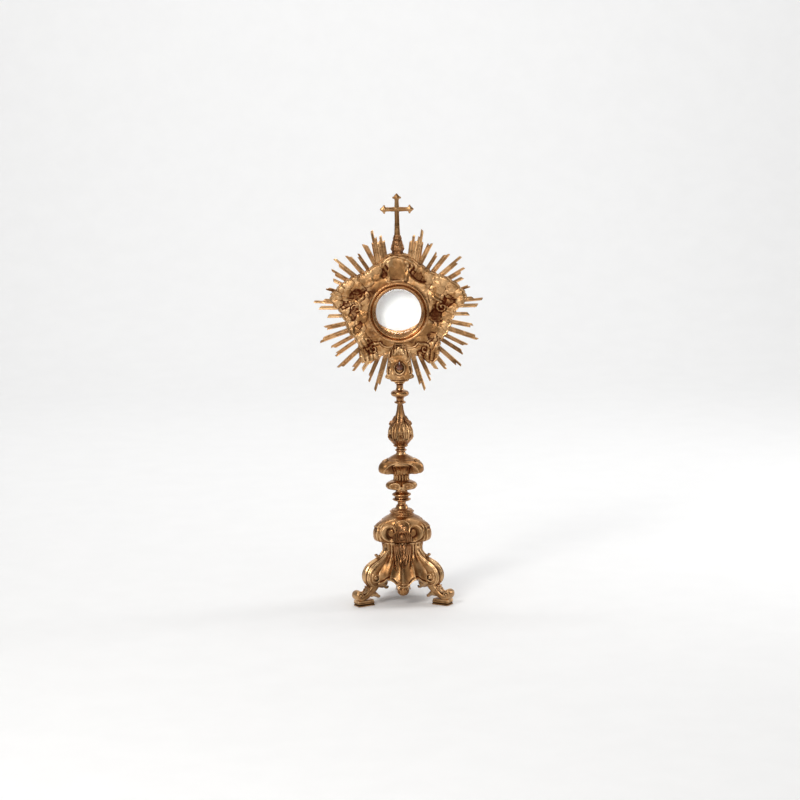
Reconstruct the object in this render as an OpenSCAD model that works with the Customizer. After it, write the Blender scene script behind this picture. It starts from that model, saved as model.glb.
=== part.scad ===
// Baroque monstrance: a three-legged foot, a turned and lobed stem, a sunburst with a cloud plate,
// and a glazed capsule that slides out of the window from behind and opens at a hinged lid.
// Millimetres. +Z is up, the front faces -Y, and the origin is on the table at the middle of the box.
// All modules are drawn about the stem's axis; on_axis() puts that axis where the frame needs it.

/* [Foot] */
// Radius from the stem's axis to the tip of each toe
toe_reach = 95; // [92:1:98]
// Thickness of the leg castings
leg_thick = 18; // [16:1:20]
// Height of the blocks under the toes
plinth_h = 6; // [5:0.5:7]
// Distance of the pendants from the stem's axis
pendant_reach = 41; // [38:1:42]

/* [Stem] */
// Radius of the threaded tie rod that holds the stem together
rod_r = 2.5; // [2:0.1:2.8]
// Radius of the baluster at its widest
baluster_r = 20.4; // [19:0.2:22]
// Radius of the disc above the baluster
disc_r = 14.7; // [13:0.1:16]

/* [Sunburst] */
// Height of the window's centre above the table
window_z = 483; // [482:0.5:485]
// Thickness of the rays
ray_t = 3; // [2.4:0.2:3]
// Thickness of the cloud plate
plate_t = 3; // [2:0.2:4]
// Half the width of the cross
cross_half = 27.7; // [24:0.1:30]

/* [Window] */
// Radius of the clear opening in the front bezel
window_r = 38.4; // [37.8:0.1:38.8]
// Outer radius of the bezel
bezel_r = 50; // [49:0.5:53]
// Radius of the wafer that the capsule shows
wafer_r = 37.9; // [35:0.1:38]
// Gap between the capsule and the tube that it slides in
capsule_gap = 0.3; // [0.25:0.05:0.4]

/* [Hidden] */
$fn = 48;

gilt = "#b08a55";
dark_gilt = "#7d5a32";
red_gilt = "#96633c";

// The rear toe reaches further than the two front ones, so the axis stands in front of the box's middle.
front_reach = toe_reach / 2 + leg_thick / 2 * cos(30);
stem_y = -(toe_reach - front_reach) / 2;

// Three-fold layout: the rear leg points to +Y and the front face looks along -Y.
leg_angles = [90, 210, 330];
face_angles = [270, 30, 150];

bell_bottom_z = 38;
bell_top_z = 101;
web_z = 92;
cap_top_z = 144.5;
leg_seat_r = 31;
leg_seat_top_z = 80;
leg_screw_z = 56;
curl_r = 48;
cap_seat_r = 37;
bell_seat_r = 26.5;
rod_bore_r = rod_r + 0.2;

plate_y = -8;
ray_y = plate_y + plate_t;
ring_y = ray_y + ray_t;
ring_t = 3;
tube_r = 41;
tube_wall = 3;
tube_front_y = -14;
tube_rear_y = 16;
relief_t = 4;
relief_y = plate_y - relief_t;
rivet_r = 1;
rivet_ring_r = 72;
stud_ring_r = 55;

capsule_r = tube_r - capsule_gap;
capsule_bore_r = 38.7;
lip_r = 37.2;
capsule_front_y = -10;
flange_y = tube_rear_y + 0.3;
flange_t = 2;
lid_y = flange_y + flange_t + 0.3;
lid_t = 4;
lid_r = 43;
lid_bore_r = 38.9;
hinge_x = -47.5;
hinge_r = 2.6;
hinge_y = lid_y + hinge_r;
pin_r = 1.2;

// Rays of one side: [angle of the tip from straight up, reach of the tip, lean of the ray from radial, width].
upper_rays = [
    [12.2, 127.5, -3.2, 5.6], [15.6, 122, -6.6, 5], [16.7, 140, -7.7, 5.8], [26, 125, 1.5, 7.2],
    [34.4, 116, -1.5, 6.2], [41.2, 126, -1.5, 7.4], [50.3, 136, 0, 7.8], [58.1, 129.6, 1.5, 7],
    [63.3, 119.6, 0, 5.6], [71.1, 124.5, 0, 5.2]
];
side_rays = [
    [81.7, 140, 3.5, 7.6], [86.5, 131, 2.5, 5.4], [93, 117, -2, 5.4],
    [101.9, 125, -0.5, 7], [109.6, 139, -0.5, 7.8], [117.7, 126.5, 0, 6.4]
];
lower_rays = [
    [123.9, 127.4, 0, 6.2], [132.7, 137, -0.5, 7], [141, 124, 0, 7],
    [147.8, 115.6, 0, 6], [155.6, 126.7, 0.5, 6.6], [163.3, 138, 0, 8]
];
ray_root_r = 66;

// Half outline of the cloud plate about the window's centre, from the top down the left side.
cloud_half = [
    [0, 92], [-23, 84], [-50, 68], [-75, 52], [-100, 34], [-105, 20],
    [-84, 2], [-77, -22], [-62, -45], [-60, -70], [-48, -76], [-28, -68]
];
puff_step = 14;
puff_r = 7;

// ---------------------------------------------------------------- helpers

module on_axis() translate([0, stem_y, 0]) children();

// Repeats a child drawn along +X at each of the given directions.
module around(angles) for (a = angles) rotate(a) children();

// Turns a profile drawn as (radius, height) about the stem's axis.
module turned() rotate_extrude($fn = 96) children();

// Turns a profile drawn as (radius, y) about the window's axis.
module window_turned() translate([0, 0, window_z]) rotate([-90, 0, 0]) rotate_extrude($fn = 120) children();

// Draws an upright plate from y0 to y0 + t, whose outline is about the window's centre.
module upright(y0, t) translate([0, y0 + t, window_z]) rotate([90, 0, 0]) linear_extrude(t) children();

// A rod along +Y from y0, at a point of the sunburst's plane.
module cross_rod(p, y0, length, r, sides = 32)
    translate([p[0], y0, window_z + p[1]]) rotate([-90, 0, 0]) cylinder(h = length, r = r, $fn = sides);

function polar(angle, r) = [r * sin(angle), r * cos(angle)];
function mirrored(points) = [for (i = [len(points) - 1 : -1 : 1]) [-points[i][0], points[i][1]]];

// A casting with three lobes towards the legs and a softer swelling on each face.
// Each station is [height, mean radius, three-fold share, six-fold share].
function lobed_r(s, a) = s[1] * (1 + s[2] * cos(3 * a) + s[3] * cos(6 * a));
module lobed(stations, sides = 60) {
    step = 360 / sides;
    rings = len(stations);
    points = [
        for (s = stations) for (i = [0 : sides - 1])
            [lobed_r(s, i * step) * cos(i * step + 90), lobed_r(s, i * step) * sin(i * step + 90), s[0]]
    ];
    walls = [
        for (k = [0 : rings - 2]) for (i = [0 : sides - 1])
            let (j = (i + 1) % sides) [k * sides + i, (k + 1) * sides + i, (k + 1) * sides + j, k * sides + j]
    ];
    foot_face = [for (i = [0 : sides - 1]) i];
    head_face = [for (i = [sides - 1 : -1 : 0]) (rings - 1) * sides + i];
    polyhedron(points, concat([foot_face, head_face], walls), convexity = 6);
}

// ---------------------------------------------------------------- foot

// Side view of a leg as (radius, height): a scrolled shoulder, a shank, and a toe that curls up.
module leg_profile() {
    difference() {
        union() {
            translate([53, 52]) circle(r = 23, $fn = 72);
            polygon([[leg_seat_r, 40], [56, 34], [56, 73], [44, 76.5], [leg_seat_r, 80]]);
            polygon([
                [40, 26], [42, 14], [52, 10], [59, plinth_h], [toe_reach - 5, plinth_h], [80, 22],
                [70, 27], [62, 36], [36, 42]
            ]);
            translate([toe_reach - 9.5, plinth_h + 11]) circle(r = 9.5);
            translate([68, 27]) circle(r = 4);
            translate([45, 10]) circle(r = 4);
            polygon([[40, 40], [28, 28], [30, 23], [42, 26]]);
            translate([29, 25.5]) circle(r = 3.2);
        }
        translate([0, bell_bottom_z]) square([leg_seat_r, 60]);
    }
}

module leg(angle) {
    rotate(angle) difference() {
        rotate([90, 0, 0]) translate([0, 0, -leg_thick / 2]) linear_extrude(leg_thick) leg_profile();
        translate([leg_seat_r - 1, 0, leg_screw_z]) rotate([0, 90, 0]) cylinder(h = 13, r = 2.05);
        translate([curl_r, 0, 66]) cylinder(h = 20, r = 1.8);
    }
}

module leg_front_left() color(gilt) leg(210);
module leg_front_right() color(gilt) leg(330);
module leg_rear() color(gilt) leg(90);

// Flat blocks that the toes stand on.
module foot_plinths() {
    length = toe_reach - 5 - 59;
    color(dark_gilt) around(leg_angles)
        translate([59, -leg_thick / 2 - 1, 0]) cube([length, leg_thick + 2, plinth_h]);
}

// Small curled buds pegged into the top of each shoulder.
module shoulder_curls() {
    color(gilt) around(leg_angles) translate([curl_r, 0, 0]) {
        translate([0, 0, 66]) cylinder(h = 14, r = 1.8);
        translate([0, 5, 80]) rotate([90, 0, 0]) cylinder(h = 10, r = 2.8);
    }
}

// Screws from inside the bell into the legs.
module leg_screws() {
    color(dark_gilt) around(leg_angles) translate([0, 0, leg_screw_z]) rotate([0, 90, 0]) {
        translate([0, 0, 21.7]) cylinder(h = 3, r = 3.5);
        translate([0, 0, 24.7]) cylinder(h = 17.3, r = 2);
    }
}

// ---------------------------------------------------------------- base

module base_bell() {
    color(gilt) difference() {
        lobed([
            [bell_bottom_z, 46, 0.02, 0.05], [43, 48, 0.02, 0.05], [49, 46.5, 0.03, 0.05], [56, 41, 0.05, 0.05],
            [65, 35, 0.06, 0.05], [75, 31, 0.08, 0.04], [84, 29.3, 0.08, 0.04], [96, 29.3, 0.08, 0.04],
            [bell_top_z, 30, 0.08, 0.03]
        ]);
        turned() polygon([[0, 30], [25, 30], [25, 62], [18, 84], [18, web_z], [0, web_z]]);
        cylinder(h = 120, r = rod_bore_r);
        around(leg_angles) {
            translate([leg_seat_r, -leg_thick / 2, 0]) cube([60, leg_thick, leg_seat_top_z]);
            translate([10, 0, leg_screw_z]) rotate([0, 90, 0]) cylinder(h = 40, r = 2.05);
        }
        around(face_angles) translate([bell_seat_r, -8, 66]) cube([30, 16, bell_top_z - 66 + 1]);
    }
}

// Turned drops that hang from the bell's rim, one below each face.
module apron_pendants() {
    color(gilt) around(face_angles) translate([pendant_reach, 0, 0]) rotate_extrude($fn = 64) {
        polygon([[0, 20], [6, 28], [8, 30], [12, 33], [12.5, 36], [10, bell_bottom_z], [0, bell_bottom_z]]);
        intersection() {
            translate([0, 25.5]) circle(r = 9.8);
            translate([0, 15]) square([12, 20]);
        }
    }
}

// Drops of husks laid on the flat seats of the bell's faces.
module husk_drops() {
    color(red_gilt) around(face_angles) translate([bell_seat_r, 0, 0]) rotate([90, 0, 90]) linear_extrude(5.5) {
        translate([0, 94]) circle(r = 6.5);
        translate([0, 83]) circle(r = 5);
        translate([0, 75]) circle(r = 4);
        polygon([[-3, 75], [0, 67], [3, 75], [5.5, 92], [-5.5, 92]]);
    }
}

module base_cap() {
    color(gilt) difference() {
        lobed([
            [bell_top_z, 28, 0.12, 0.04], [103, 37, 0.13, 0.05], [108, 41, 0.15, 0.08], [114, 42.4, 0.153, 0.094],
            [121, 42.5, 0.153, 0.094], [127, 41.3, 0.15, 0.08], [129.5, 43, 0.15, 0.06], [131, 41, 0.14, 0.04],
            [136, 35.5, 0.09, 0.03], [140, 29.5, 0.05, 0], [cap_top_z, 20.5, 0, 0]
        ]);
        turned() polygon([[0, 100], [23, 100], [23, 104], [34, 112], [34, 126], [22, 138], [0, 138]]);
        cylinder(h = 160, r = rod_bore_r);
        around(face_angles) translate([cap_seat_r, -11, 103]) cube([30, 22, 25]);
    }
}

// Shield with an oval boss, laid on the flat seat of each face of the cap.
module cap_cartouches() {
    color(red_gilt) around(face_angles) translate([cap_seat_r, 0, 0]) rotate([90, 0, 90]) {
        linear_extrude(4) {
            translate([0, 112]) circle(r = 8.5);
            translate([0, 122]) circle(r = 5.5);
            polygon([[-7, 105], [7, 105], [7, 116], [4, 125], [-4, 125], [-7, 116]]);
        }
        translate([0, 112, 4]) cylinder(h = 2.5, r1 = 5, r2 = 3.4);
    }
}

// ---------------------------------------------------------------- stem

module rod_hole() cylinder(h = 420, r = rod_bore_r);

module base_collar() {
    color(gilt) difference() {
        turned() polygon([
            [0, cap_top_z], [20.5, cap_top_z], [19, 147], [19.6, 148.5], [19.6, 151], [17, 152.5], [17, 154],
            [14.5, 155.5], [10, 157], [9, 159], [0, 159]
        ]);
        rod_hole();
    }
}

module stem_neck() {
    color(gilt) difference() {
        turned() polygon([[0, 159], [9, 159], [7.2, 162], [6.8, 165], [7.4, 168], [0, 168]]);
        rod_hole();
    }
}

module stem_rings() {
    color(gilt) difference() {
        turned() {
            polygon([
                [0, 168], [11, 168], [14.7, 170], [12, 172], [12, 175.5], [14.7, 177], [14.7, 180],
                [11.5, 182], [9.8, 183.5], [9.8, 185.5], [11, 187], [0, 187]
            ]);
            translate([13, 170]) circle(r = 1.9);
        }
        rod_hole();
    }
}

module knop_cup() {
    color(gilt) difference() {
        lobed([
            [187, 12, 0.05, 0], [189, 18.5, 0.1, 0.04], [194, 22.6, 0.14, 0.06], [199, 20.5, 0.12, 0.05],
            [202, 14.6, 0.1, 0.03], [208, 13.8, 0.1, 0.03], [214, 15, 0.1, 0.03]
        ], 48);
        rod_hole();
    }
}

module knop_crown() {
    color(gilt) difference() {
        lobed([
            [214, 16, 0.1, 0.03], [216, 26, 0.13, 0.05], [219, 31, 0.15, 0.06], [225, 33.5, 0.15, 0.06],
            [231, 31.5, 0.14, 0.05], [236, 26.5, 0.12, 0.03], [240, 21, 0.08, 0], [243, 15, 0.03, 0], [246, 10, 0, 0]
        ], 48);
        turned() polygon([[0, 213], [9, 213], [9, 216], [21, 221], [21, 230], [9, 237], [0, 237]]);
        rod_hole();
    }
}

module upper_spool() {
    color(gilt) difference() {
        turned() {
            polygon([
                [0, 246], [8.5, 246], [7.2, 249], [7.2, 251.5], [9.2, 253], [7.2, 254.8], [7.2, 258],
                [10, 259], [10, 262], [0, 262]
            ]);
            translate([10.2, 260.5]) circle(r = 1.5);
        }
        rod_hole();
    }
}

// Outer line of the baluster as (radius, height); the two calyxes share its ends.
lower_line = [[10.5, 262], [12.5, 266], [17, 271]];
belly_line = [[baluster_r - 1.2, 275], [baluster_r, 281], [baluster_r - 1.4, 288]];
upper_line = [[15.5, 295], [11.5, 300], [9.4, 304]];
spindle_line = [[7.3, 309], [5.6, 317], [4.3, 327], [4.5, 330]];
baluster_line = concat(lower_line, belly_line, upper_line, spindle_line);

module baluster() {
    color(gilt) difference() {
        turned() polygon(concat([[0, 262]], baluster_line, [[0, 330]]));
        turned() polygon([[0, 266], [8, 266], [16, 276], [16, 287], [6, 299], [0, 299]]);
        rod_hole();
    }
}

// Rings of leaves that clasp the baluster below and above.
module lower_calyx() color(red_gilt) turned() polygon(concat(lower_line, [[19, 270.5], [14.4, 264], [12.6, 262]]));
module upper_calyx() color(red_gilt) turned() polygon(concat(upper_line, [[12, 303], [16.2, 299], [18.2, 296.2]]));

module stem_disc() {
    color(gilt) difference() {
        turned() {
            polygon([
                [0, 330], [6, 330], [8, 331.5], [9, 333], [8, 334.5], [5.6, 336], [6.4, 338.5], [8, 340],
                [disc_r - 2, 344], [disc_r - 2, 350], [11.4, 352.5], [6.5, 354], [0, 354]
            ]);
            translate([disc_r - 3, 347]) circle(r = 3);
        }
        rod_hole();
    }
}

module socket_neck() {
    color(gilt) difference() {
        turned() polygon([[0, 354], [6.5, 354], [5.6, 357], [5.6, 362], [7.5, 366], [0, 366]]);
        rod_hole();
    }
}

// Threaded rod through the whole stem, from the web of the bell into the tang.
module tie_rod() color(dark_gilt) translate([0, 0, 82]) cylinder(h = 296, r = rod_r);

module tie_nut() {
    color(dark_gilt) translate([0, 0, 86]) difference() {
        cylinder(h = 4.4, r = 5.6, $fn = 6);
        translate([0, 0, -1]) cylinder(h = 7, r = rod_r + 0.05);
    }
}

module tie_washer() {
    color(dark_gilt) translate([0, 0, 90.4]) difference() {
        cylinder(h = web_z - 90.4, r = 8.5);
        translate([0, 0, -1]) cylinder(h = 5, r = rod_bore_r);
    }
}

// ---------------------------------------------------------------- sunburst

tang_screw_zs = [-71, -56];

// Bar that carries the sunburst: it stands on the stem and is screwed behind the ring.
module glory_tang() {
    color(dark_gilt) difference() {
        union() {
            translate([0, 0, 366]) cylinder(h = 6, r = 7.5);
            translate([-8, plate_y, 370]) cube([16, ring_y + ring_t + 5 - plate_y, 29]);
            translate([-8, ring_y + ring_t, 370]) cube([16, 5, window_z - 48 - 370]);
        }
        translate([0, 0, 360]) cylinder(h = 20, r = rod_r + 0.05);
        for (z = tang_screw_zs) cross_rod([0, z], 0, 20, 1.55);
    }
}

module tang_screws() {
    color(gilt) for (z = tang_screw_zs) {
        cross_rod([0, z], ring_y + 0.5, ring_t + 4.5, 1.5);
        cross_rod([0, z], ring_y + ring_t + 5, 1.8, 3.2);
    }
}

// Where a ray's rivet goes through the ring, in the sunburst's plane.
function ray_foot(ray) = polar(ray[0], ray[1]) - polar(ray[0] + ray[2], ray[1] - ray_root_r);
function ray_rivet(ray) = ray_foot(ray) + polar(ray[0] + ray[2], rivet_ring_r - ray_root_r);
one_side_rays = concat(upper_rays, side_rays, lower_rays);
rivet_points = [for (side = [1, -1]) for (r = one_side_rays) [side * ray_rivet(r)[0], ray_rivet(r)[1]]];
stud_points = [for (a = [45, 135, 225, 315]) polar(a, stud_ring_r)];

// A flat ray with a slanted end in two steps.
module ray(r) {
    length = r[1] - ray_root_r;
    w = r[3];
    translate(ray_foot(r)) rotate(90 - r[0] - r[2])
        polygon([
            [0, -w / 2], [length - 10, -w / 2], [length - 7, -w / 6], [length - 3, -w / 6],
            [length, w / 2], [0, w / 2]
        ]);
}

module rays(list) {
    upright(ray_y, ray_t) difference() {
        for (r = list) ray(r);
        for (r = list) translate(ray_rivet(r)) circle(r = rivet_r + 0.02, $fn = 24);
    }
}

module rays_upper_right() color(gilt) rays(upper_rays);
module rays_side_right() color(gilt) rays(side_rays);
module rays_lower_right() color(gilt) rays(lower_rays);
module rays_upper_left() color(gilt) mirror([1, 0, 0]) rays(upper_rays);
module rays_side_left() color(gilt) mirror([1, 0, 0]) rays(side_rays);
module rays_lower_left() color(gilt) mirror([1, 0, 0]) rays(lower_rays);

// Rear ring that the rays are riveted to; its thick inner band fills the gap up to the cloud plate.
module sunburst_ring() {
    color(dark_gilt) difference() {
        window_turned() polygon([
            [tube_r + tube_wall, ray_y], [64, ray_y], [64, ring_y], [78, ring_y],
            [78, ring_y + ring_t], [tube_r + tube_wall, ring_y + ring_t]
        ]);
        for (p = concat(rivet_points, [[0, rivet_ring_r]])) cross_rod(p, ring_y - 1, ring_t + 2, rivet_r + 0.02, 24);
        for (p = stud_points) cross_rod(p, ray_y - 1, ray_t + ring_t + 2, 1.55);
        for (z = tang_screw_zs) cross_rod([0, z], ring_y + 0.3, ring_t + 1, 1.55);
    }
}

module ray_rivets() {
    color(gilt) for (p = concat(rivet_points, [[0, rivet_ring_r]])) {
        cross_rod(p, ray_y, ray_t + ring_t, rivet_r, 24);
        cross_rod(p, ring_y + ring_t, 0.9, 1.8, 24);
    }
}

// Points spaced along a closed outline, for the rounded puffs of its edge.
function edge_points(outline) = [
    for (i = [0 : len(outline) - 1])
        let (a = outline[i], b = outline[(i + 1) % len(outline)], n = max(1, round(norm(b - a) / puff_step)))
            for (k = [0 : n - 1]) a + (b - a) * k / n
];

module cloud_outline(share = 1) {
    outline = share * concat(cloud_half, mirrored(cloud_half));
    polygon(outline);
    for (p = edge_points(outline)) translate(p) circle(r = puff_r, $fn = 32);
}

// Front plate with a scalloped, cloud-like edge.
module cloud_plate() {
    color(gilt) upright(plate_y, plate_t) difference() {
        cloud_outline();
        circle(r = tube_r + tube_wall, $fn = 120);
    }
}

// Raised clouds on the plate; they leave room for the cartouche below the window.
module cloud_relief() {
    color(gilt) upright(relief_y, relief_t) difference() {
        cloud_outline(0.8);
        circle(r = tube_r + tube_wall, $fn = 120);
        translate([-21, -90]) square([42, 60]);
    }
}

module cloud_studs() color(dark_gilt) for (p = stud_points) cross_rod(p, ray_y, ray_t + ring_t + 5, 1.5);

module cloud_nuts() {
    color(gilt) for (p = stud_points) difference() {
        cross_rod(p, ring_y + ring_t, 2.6, 3.6, 6);
        cross_rod(p, ring_y + ring_t - 1, 5, 1.55);
    }
}

// Shell-shaped cartouche at the foot of the plate, in front of the tang.
module shell_cartouche() {
    color(gilt) upright(plate_y - 6, 6) difference() {
        union() {
            polygon([
                [-12, -52], [-16.5, -66], [-20, -80], [-21.4, -91], [-21.4, -100], [-20.5, -108], [-9, -116.5],
                [9, -116.5], [20.5, -108], [21.4, -100], [21.4, -91], [20, -80], [16.5, -66], [12, -52]
            ]);
            for (side = [-1, 1]) for (p = [[18.8, -97, 3.4], [20.4, -107.2, 3.8], [12.2, -112.6, 3]])
                translate([side * p[0], p[1]]) circle(r = p[2]);
            for (side = [-1, 1]) translate([side * 9, -56]) circle(r = 6);
        }
        circle(r = bezel_r + 0.5, $fn = 120);
    }
}

// Drop-shaped cabochon set on the cartouche.
module cartouche_gem() {
    color(dark_gilt) intersection() {
        union() {
            translate([0, plate_y - 6, window_z - 90]) sphere(r = 6.5);
            translate([0, plate_y - 6, window_z - 87]) cylinder(h = 12, r1 = 5.6, r2 = 0.6);
        }
        translate([-10, plate_y - 26, window_z - 110]) cube([20, 20, 60]);
    }
}

// ---------------------------------------------------------------- window

// Tube through the plate and the ring; the capsule slides in it.
module window_tube() {
    color(dark_gilt) window_turned() polygon([
        [tube_r, tube_front_y], [tube_r + tube_wall, tube_front_y],
        [tube_r + tube_wall, tube_rear_y], [tube_r, tube_rear_y]
    ]);
}

// Moulded ring round the front of the window, seated on the tube and on the raised clouds.
module window_bezel() {
    color(gilt) window_turned() {
        polygon([
            [window_r, tube_front_y], [window_r, -21], [window_r + 1.5, -22.5], [window_r + 4, -21], [bezel_r - 8, -19],
            [bezel_r - 4.5, -21.5], [bezel_r - 1, -19], [bezel_r, -16], [bezel_r, relief_y],
            [tube_r + tube_wall, relief_y], [tube_r + tube_wall, tube_front_y]
        ]);
        translate([bezel_r - 4.5, -18.5]) circle(r = 4);
    }
}

// ---------------------------------------------------------------- cross

socket_z = 583.5;
socket_top_z = 608;
cross_y = ray_y;
cross_arm_z = 650;
cross_top_z = 676;

// Tapering leafy socket with a tab that is riveted behind the cloud plate.
module cross_socket() {
    color(red_gilt) difference() {
        union() {
            translate([0, cross_y, 0]) turned() polygon([
                [0, socket_z], [10.4, socket_z], [10.8, 587], [8.6, 589], [8.8, 594], [7, 596], [7.2, 600],
                [5.6, 602], [6, 606], [4.4, socket_top_z], [0, socket_top_z]
            ]);
            translate([-6, ray_y, window_z + 66]) cube([12, ray_t, socket_z - window_z - 62]);
        }
        translate([0, cross_y, 590]) cylinder(h = 30, r = 1.65);
        cross_rod([0, rivet_ring_r], ray_y - 1, 10, rivet_r + 0.02, 24);
    }
}

// Budded end of a cross arm, drawn along +X with its tip at the given reach.
module bud(reach) {
    polygon([[reach - 7.5, -4.8], [reach - 3.5, -3.4], [reach, 0], [reach - 3.5, 3.4], [reach - 7.5, 4.8], [reach - 9, 0]]);
    for (side = [-1, 1]) translate([reach - 7, side * 3.2]) circle(r = 2.2);
}

module cross() {
    color(gilt) translate([0, cross_y, 0]) {
        translate([0, 2.5, cross_arm_z]) rotate([90, 0, 0]) linear_extrude(5) {
            for (side = [0, 180]) rotate(side) {
                translate([0, -3]) square([cross_half - 6, 6]);
                bud(cross_half);
            }
            rotate(90) {
                translate([0, -3]) square([cross_top_z - cross_arm_z - 6, 6]);
                bud(cross_top_z - cross_arm_z);
            }
            polygon([[-4, socket_top_z - cross_arm_z], [4, socket_top_z - cross_arm_z], [3, 0], [-3, 0]]);
        }
        translate([0, 0, 592]) cylinder(h = socket_top_z - 592 + 1, r = 1.6);
    }
}

// ---------------------------------------------------------------- capsule

glass_y = capsule_front_y + 1.5;
glass_t = 2;
snap_t = 1.5;
wafer_y = 2;
wafer_t = 1.2;
crescent_t = 1.6;

module capsule_ring() {
    color(gilt) window_turned() polygon([
        [lip_r, capsule_front_y], [capsule_r, capsule_front_y], [capsule_r, flange_y], [46.5, flange_y],
        [46.5, flange_y + flange_t], [capsule_bore_r, flange_y + flange_t], [capsule_bore_r, glass_y], [lip_r, glass_y]
    ]);
}

module disc(y0, t, r) window_turned() translate([0, y0]) square([r, t]);
module band(y0, t, r0, r1) window_turned() translate([r0, y0]) square([r1 - r0, t]);

module front_glass() color("#dfe8ea", 0.3) disc(glass_y, glass_t, capsule_bore_r - 0.1);
module glass_snap_ring() color(dark_gilt) band(glass_y + glass_t, snap_t, lip_r, capsule_bore_r - 0.1);
module host_wafer() color("#f6f3ea") disc(wafer_y, wafer_t, wafer_r);

// Crescent that holds the lower edge of the wafer; its foot reaches the capsule's wall.
module crescent(y0) {
    upright(y0, crescent_t) {
        difference() {
            circle(r = capsule_bore_r - 0.6, $fn = 96);
            translate([0, 7.4]) circle(r = 40, $fn = 96);
        }
        translate([-5, -capsule_bore_r + 0.25]) square([10, 3]);
    }
}

module lunula_front() color(gilt) crescent(wafer_y - crescent_t);
module lunula_rear() color(gilt) crescent(wafer_y + wafer_t);

knuckle_gap = 0.2;
lid_knuckle = 9.2;
side_knuckle = 7;

module knuckle(z0, length, bore) {
    translate([hinge_x, hinge_y, window_z + z0]) difference() {
        cylinder(h = length, r = hinge_r);
        translate([0, 0, -1]) cylinder(h = length + 2, r = bore);
    }
}

// Two outer knuckles on a pad behind the capsule's flange.
module capsule_hinge() {
    color(gilt) for (side = [-1, 1]) {
        z0 = side > 0 ? lid_knuckle / 2 + knuckle_gap : -lid_knuckle / 2 - knuckle_gap - side_knuckle;
        knuckle(z0, side_knuckle, pin_r + 0.02);
        difference() {
            translate([hinge_x - 2.4, flange_y + flange_t, window_z + z0])
                cube([5.9, hinge_y - flange_y - flange_t, side_knuckle]);
            translate([hinge_x, hinge_y, window_z + z0 - 1]) cylinder(h = side_knuckle + 2, r = pin_r + 0.02);
        }
    }
}

module hinge_pin() {
    length = lid_knuckle + 2 * knuckle_gap + 2 * side_knuckle;
    color(dark_gilt) translate([hinge_x, hinge_y, window_z - length / 2 - 1]) cylinder(h = length + 2, r = pin_r);
}

// Springy lug beside the lid's free edge.
module lid_catch() {
    color(dark_gilt) translate([lid_r + 0.4, flange_y + flange_t, window_z - 5]) cube([1.8, 5.6, 10]);
}

module lid_ring() {
    color(gilt) window_turned() polygon([
        [lip_r, lid_y], [lid_r, lid_y], [lid_r, lid_y + lid_t], [lid_bore_r, lid_y + lid_t],
        [lid_bore_r, lid_y + 1.2], [lip_r, lid_y + 1.2]
    ]);
}

module lid_glass() color("#dfe8ea", 0.3) disc(lid_y + 1.2, 1.6, lid_bore_r - 0.1);
module lid_snap_ring() color(dark_gilt) band(lid_y + 2.8, lid_t - 2.8, lip_r, lid_bore_r - 0.1);

// Middle knuckle with a leaf that lies on the lid.
module lid_hinge() {
    leaf_y = lid_y + lid_t;
    z0 = -lid_knuckle / 2;
    color(gilt) {
        knuckle(z0, lid_knuckle, pin_r + 0.07);
        difference() {
            translate([hinge_x, hinge_y, window_z + z0]) cube([3.5, leaf_y + 1 - hinge_y, lid_knuckle]);
            translate([hinge_x, hinge_y, window_z + z0 - 1]) cylinder(h = lid_knuckle + 2, r = pin_r + 0.07);
        }
        translate([hinge_x, leaf_y, window_z + z0]) cube([8.6, 1, lid_knuckle]);
    }
}

module lid_knob() {
    color(gilt) translate([40.5, lid_y + lid_t, window_z]) rotate([-90, 0, 0]) {
        cylinder(h = 4, r = 1.5);
        translate([0, 0, 6]) sphere(r = 3);
    }
}

// ---------------------------------------------------------------- output

on_axis() leg_front_left();
on_axis() leg_front_right();
on_axis() leg_rear();
on_axis() foot_plinths();
on_axis() shoulder_curls();
on_axis() leg_screws();
on_axis() base_bell();
on_axis() apron_pendants();
on_axis() husk_drops();
on_axis() base_cap();
on_axis() cap_cartouches();
on_axis() base_collar();
on_axis() stem_neck();
on_axis() stem_rings();
on_axis() knop_cup();
on_axis() knop_crown();
on_axis() upper_spool();
on_axis() baluster();
on_axis() lower_calyx();
on_axis() upper_calyx();
on_axis() stem_disc();
on_axis() socket_neck();
on_axis() tie_rod();
on_axis() tie_nut();
on_axis() tie_washer();
on_axis() glory_tang();
on_axis() tang_screws();
on_axis() sunburst_ring();
on_axis() rays_upper_right();
on_axis() rays_side_right();
on_axis() rays_lower_right();
on_axis() rays_upper_left();
on_axis() rays_side_left();
on_axis() rays_lower_left();
on_axis() ray_rivets();
on_axis() cloud_plate();
on_axis() cloud_relief();
on_axis() cloud_studs();
on_axis() cloud_nuts();
on_axis() shell_cartouche();
on_axis() cartouche_gem();
on_axis() window_tube();
on_axis() window_bezel();
on_axis() cross_socket();
on_axis() cross();
on_axis() capsule_ring();
on_axis() front_glass();
on_axis() glass_snap_ring();
on_axis() lunula_front();
on_axis() lunula_rear();
on_axis() host_wafer();
on_axis() capsule_hinge();
on_axis() hinge_pin();
on_axis() lid_catch();
on_axis() lid_ring();
on_axis() lid_glass();
on_axis() lid_snap_ring();
on_axis() lid_hinge();
on_axis() lid_knob();
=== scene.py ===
"""Looks of the monstrance: chased and turned gilt brass, rays, embossed clouds, and the glazed capsule."""
import math

import bpy
import numpy as np
from mathutils import Matrix, Vector


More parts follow.
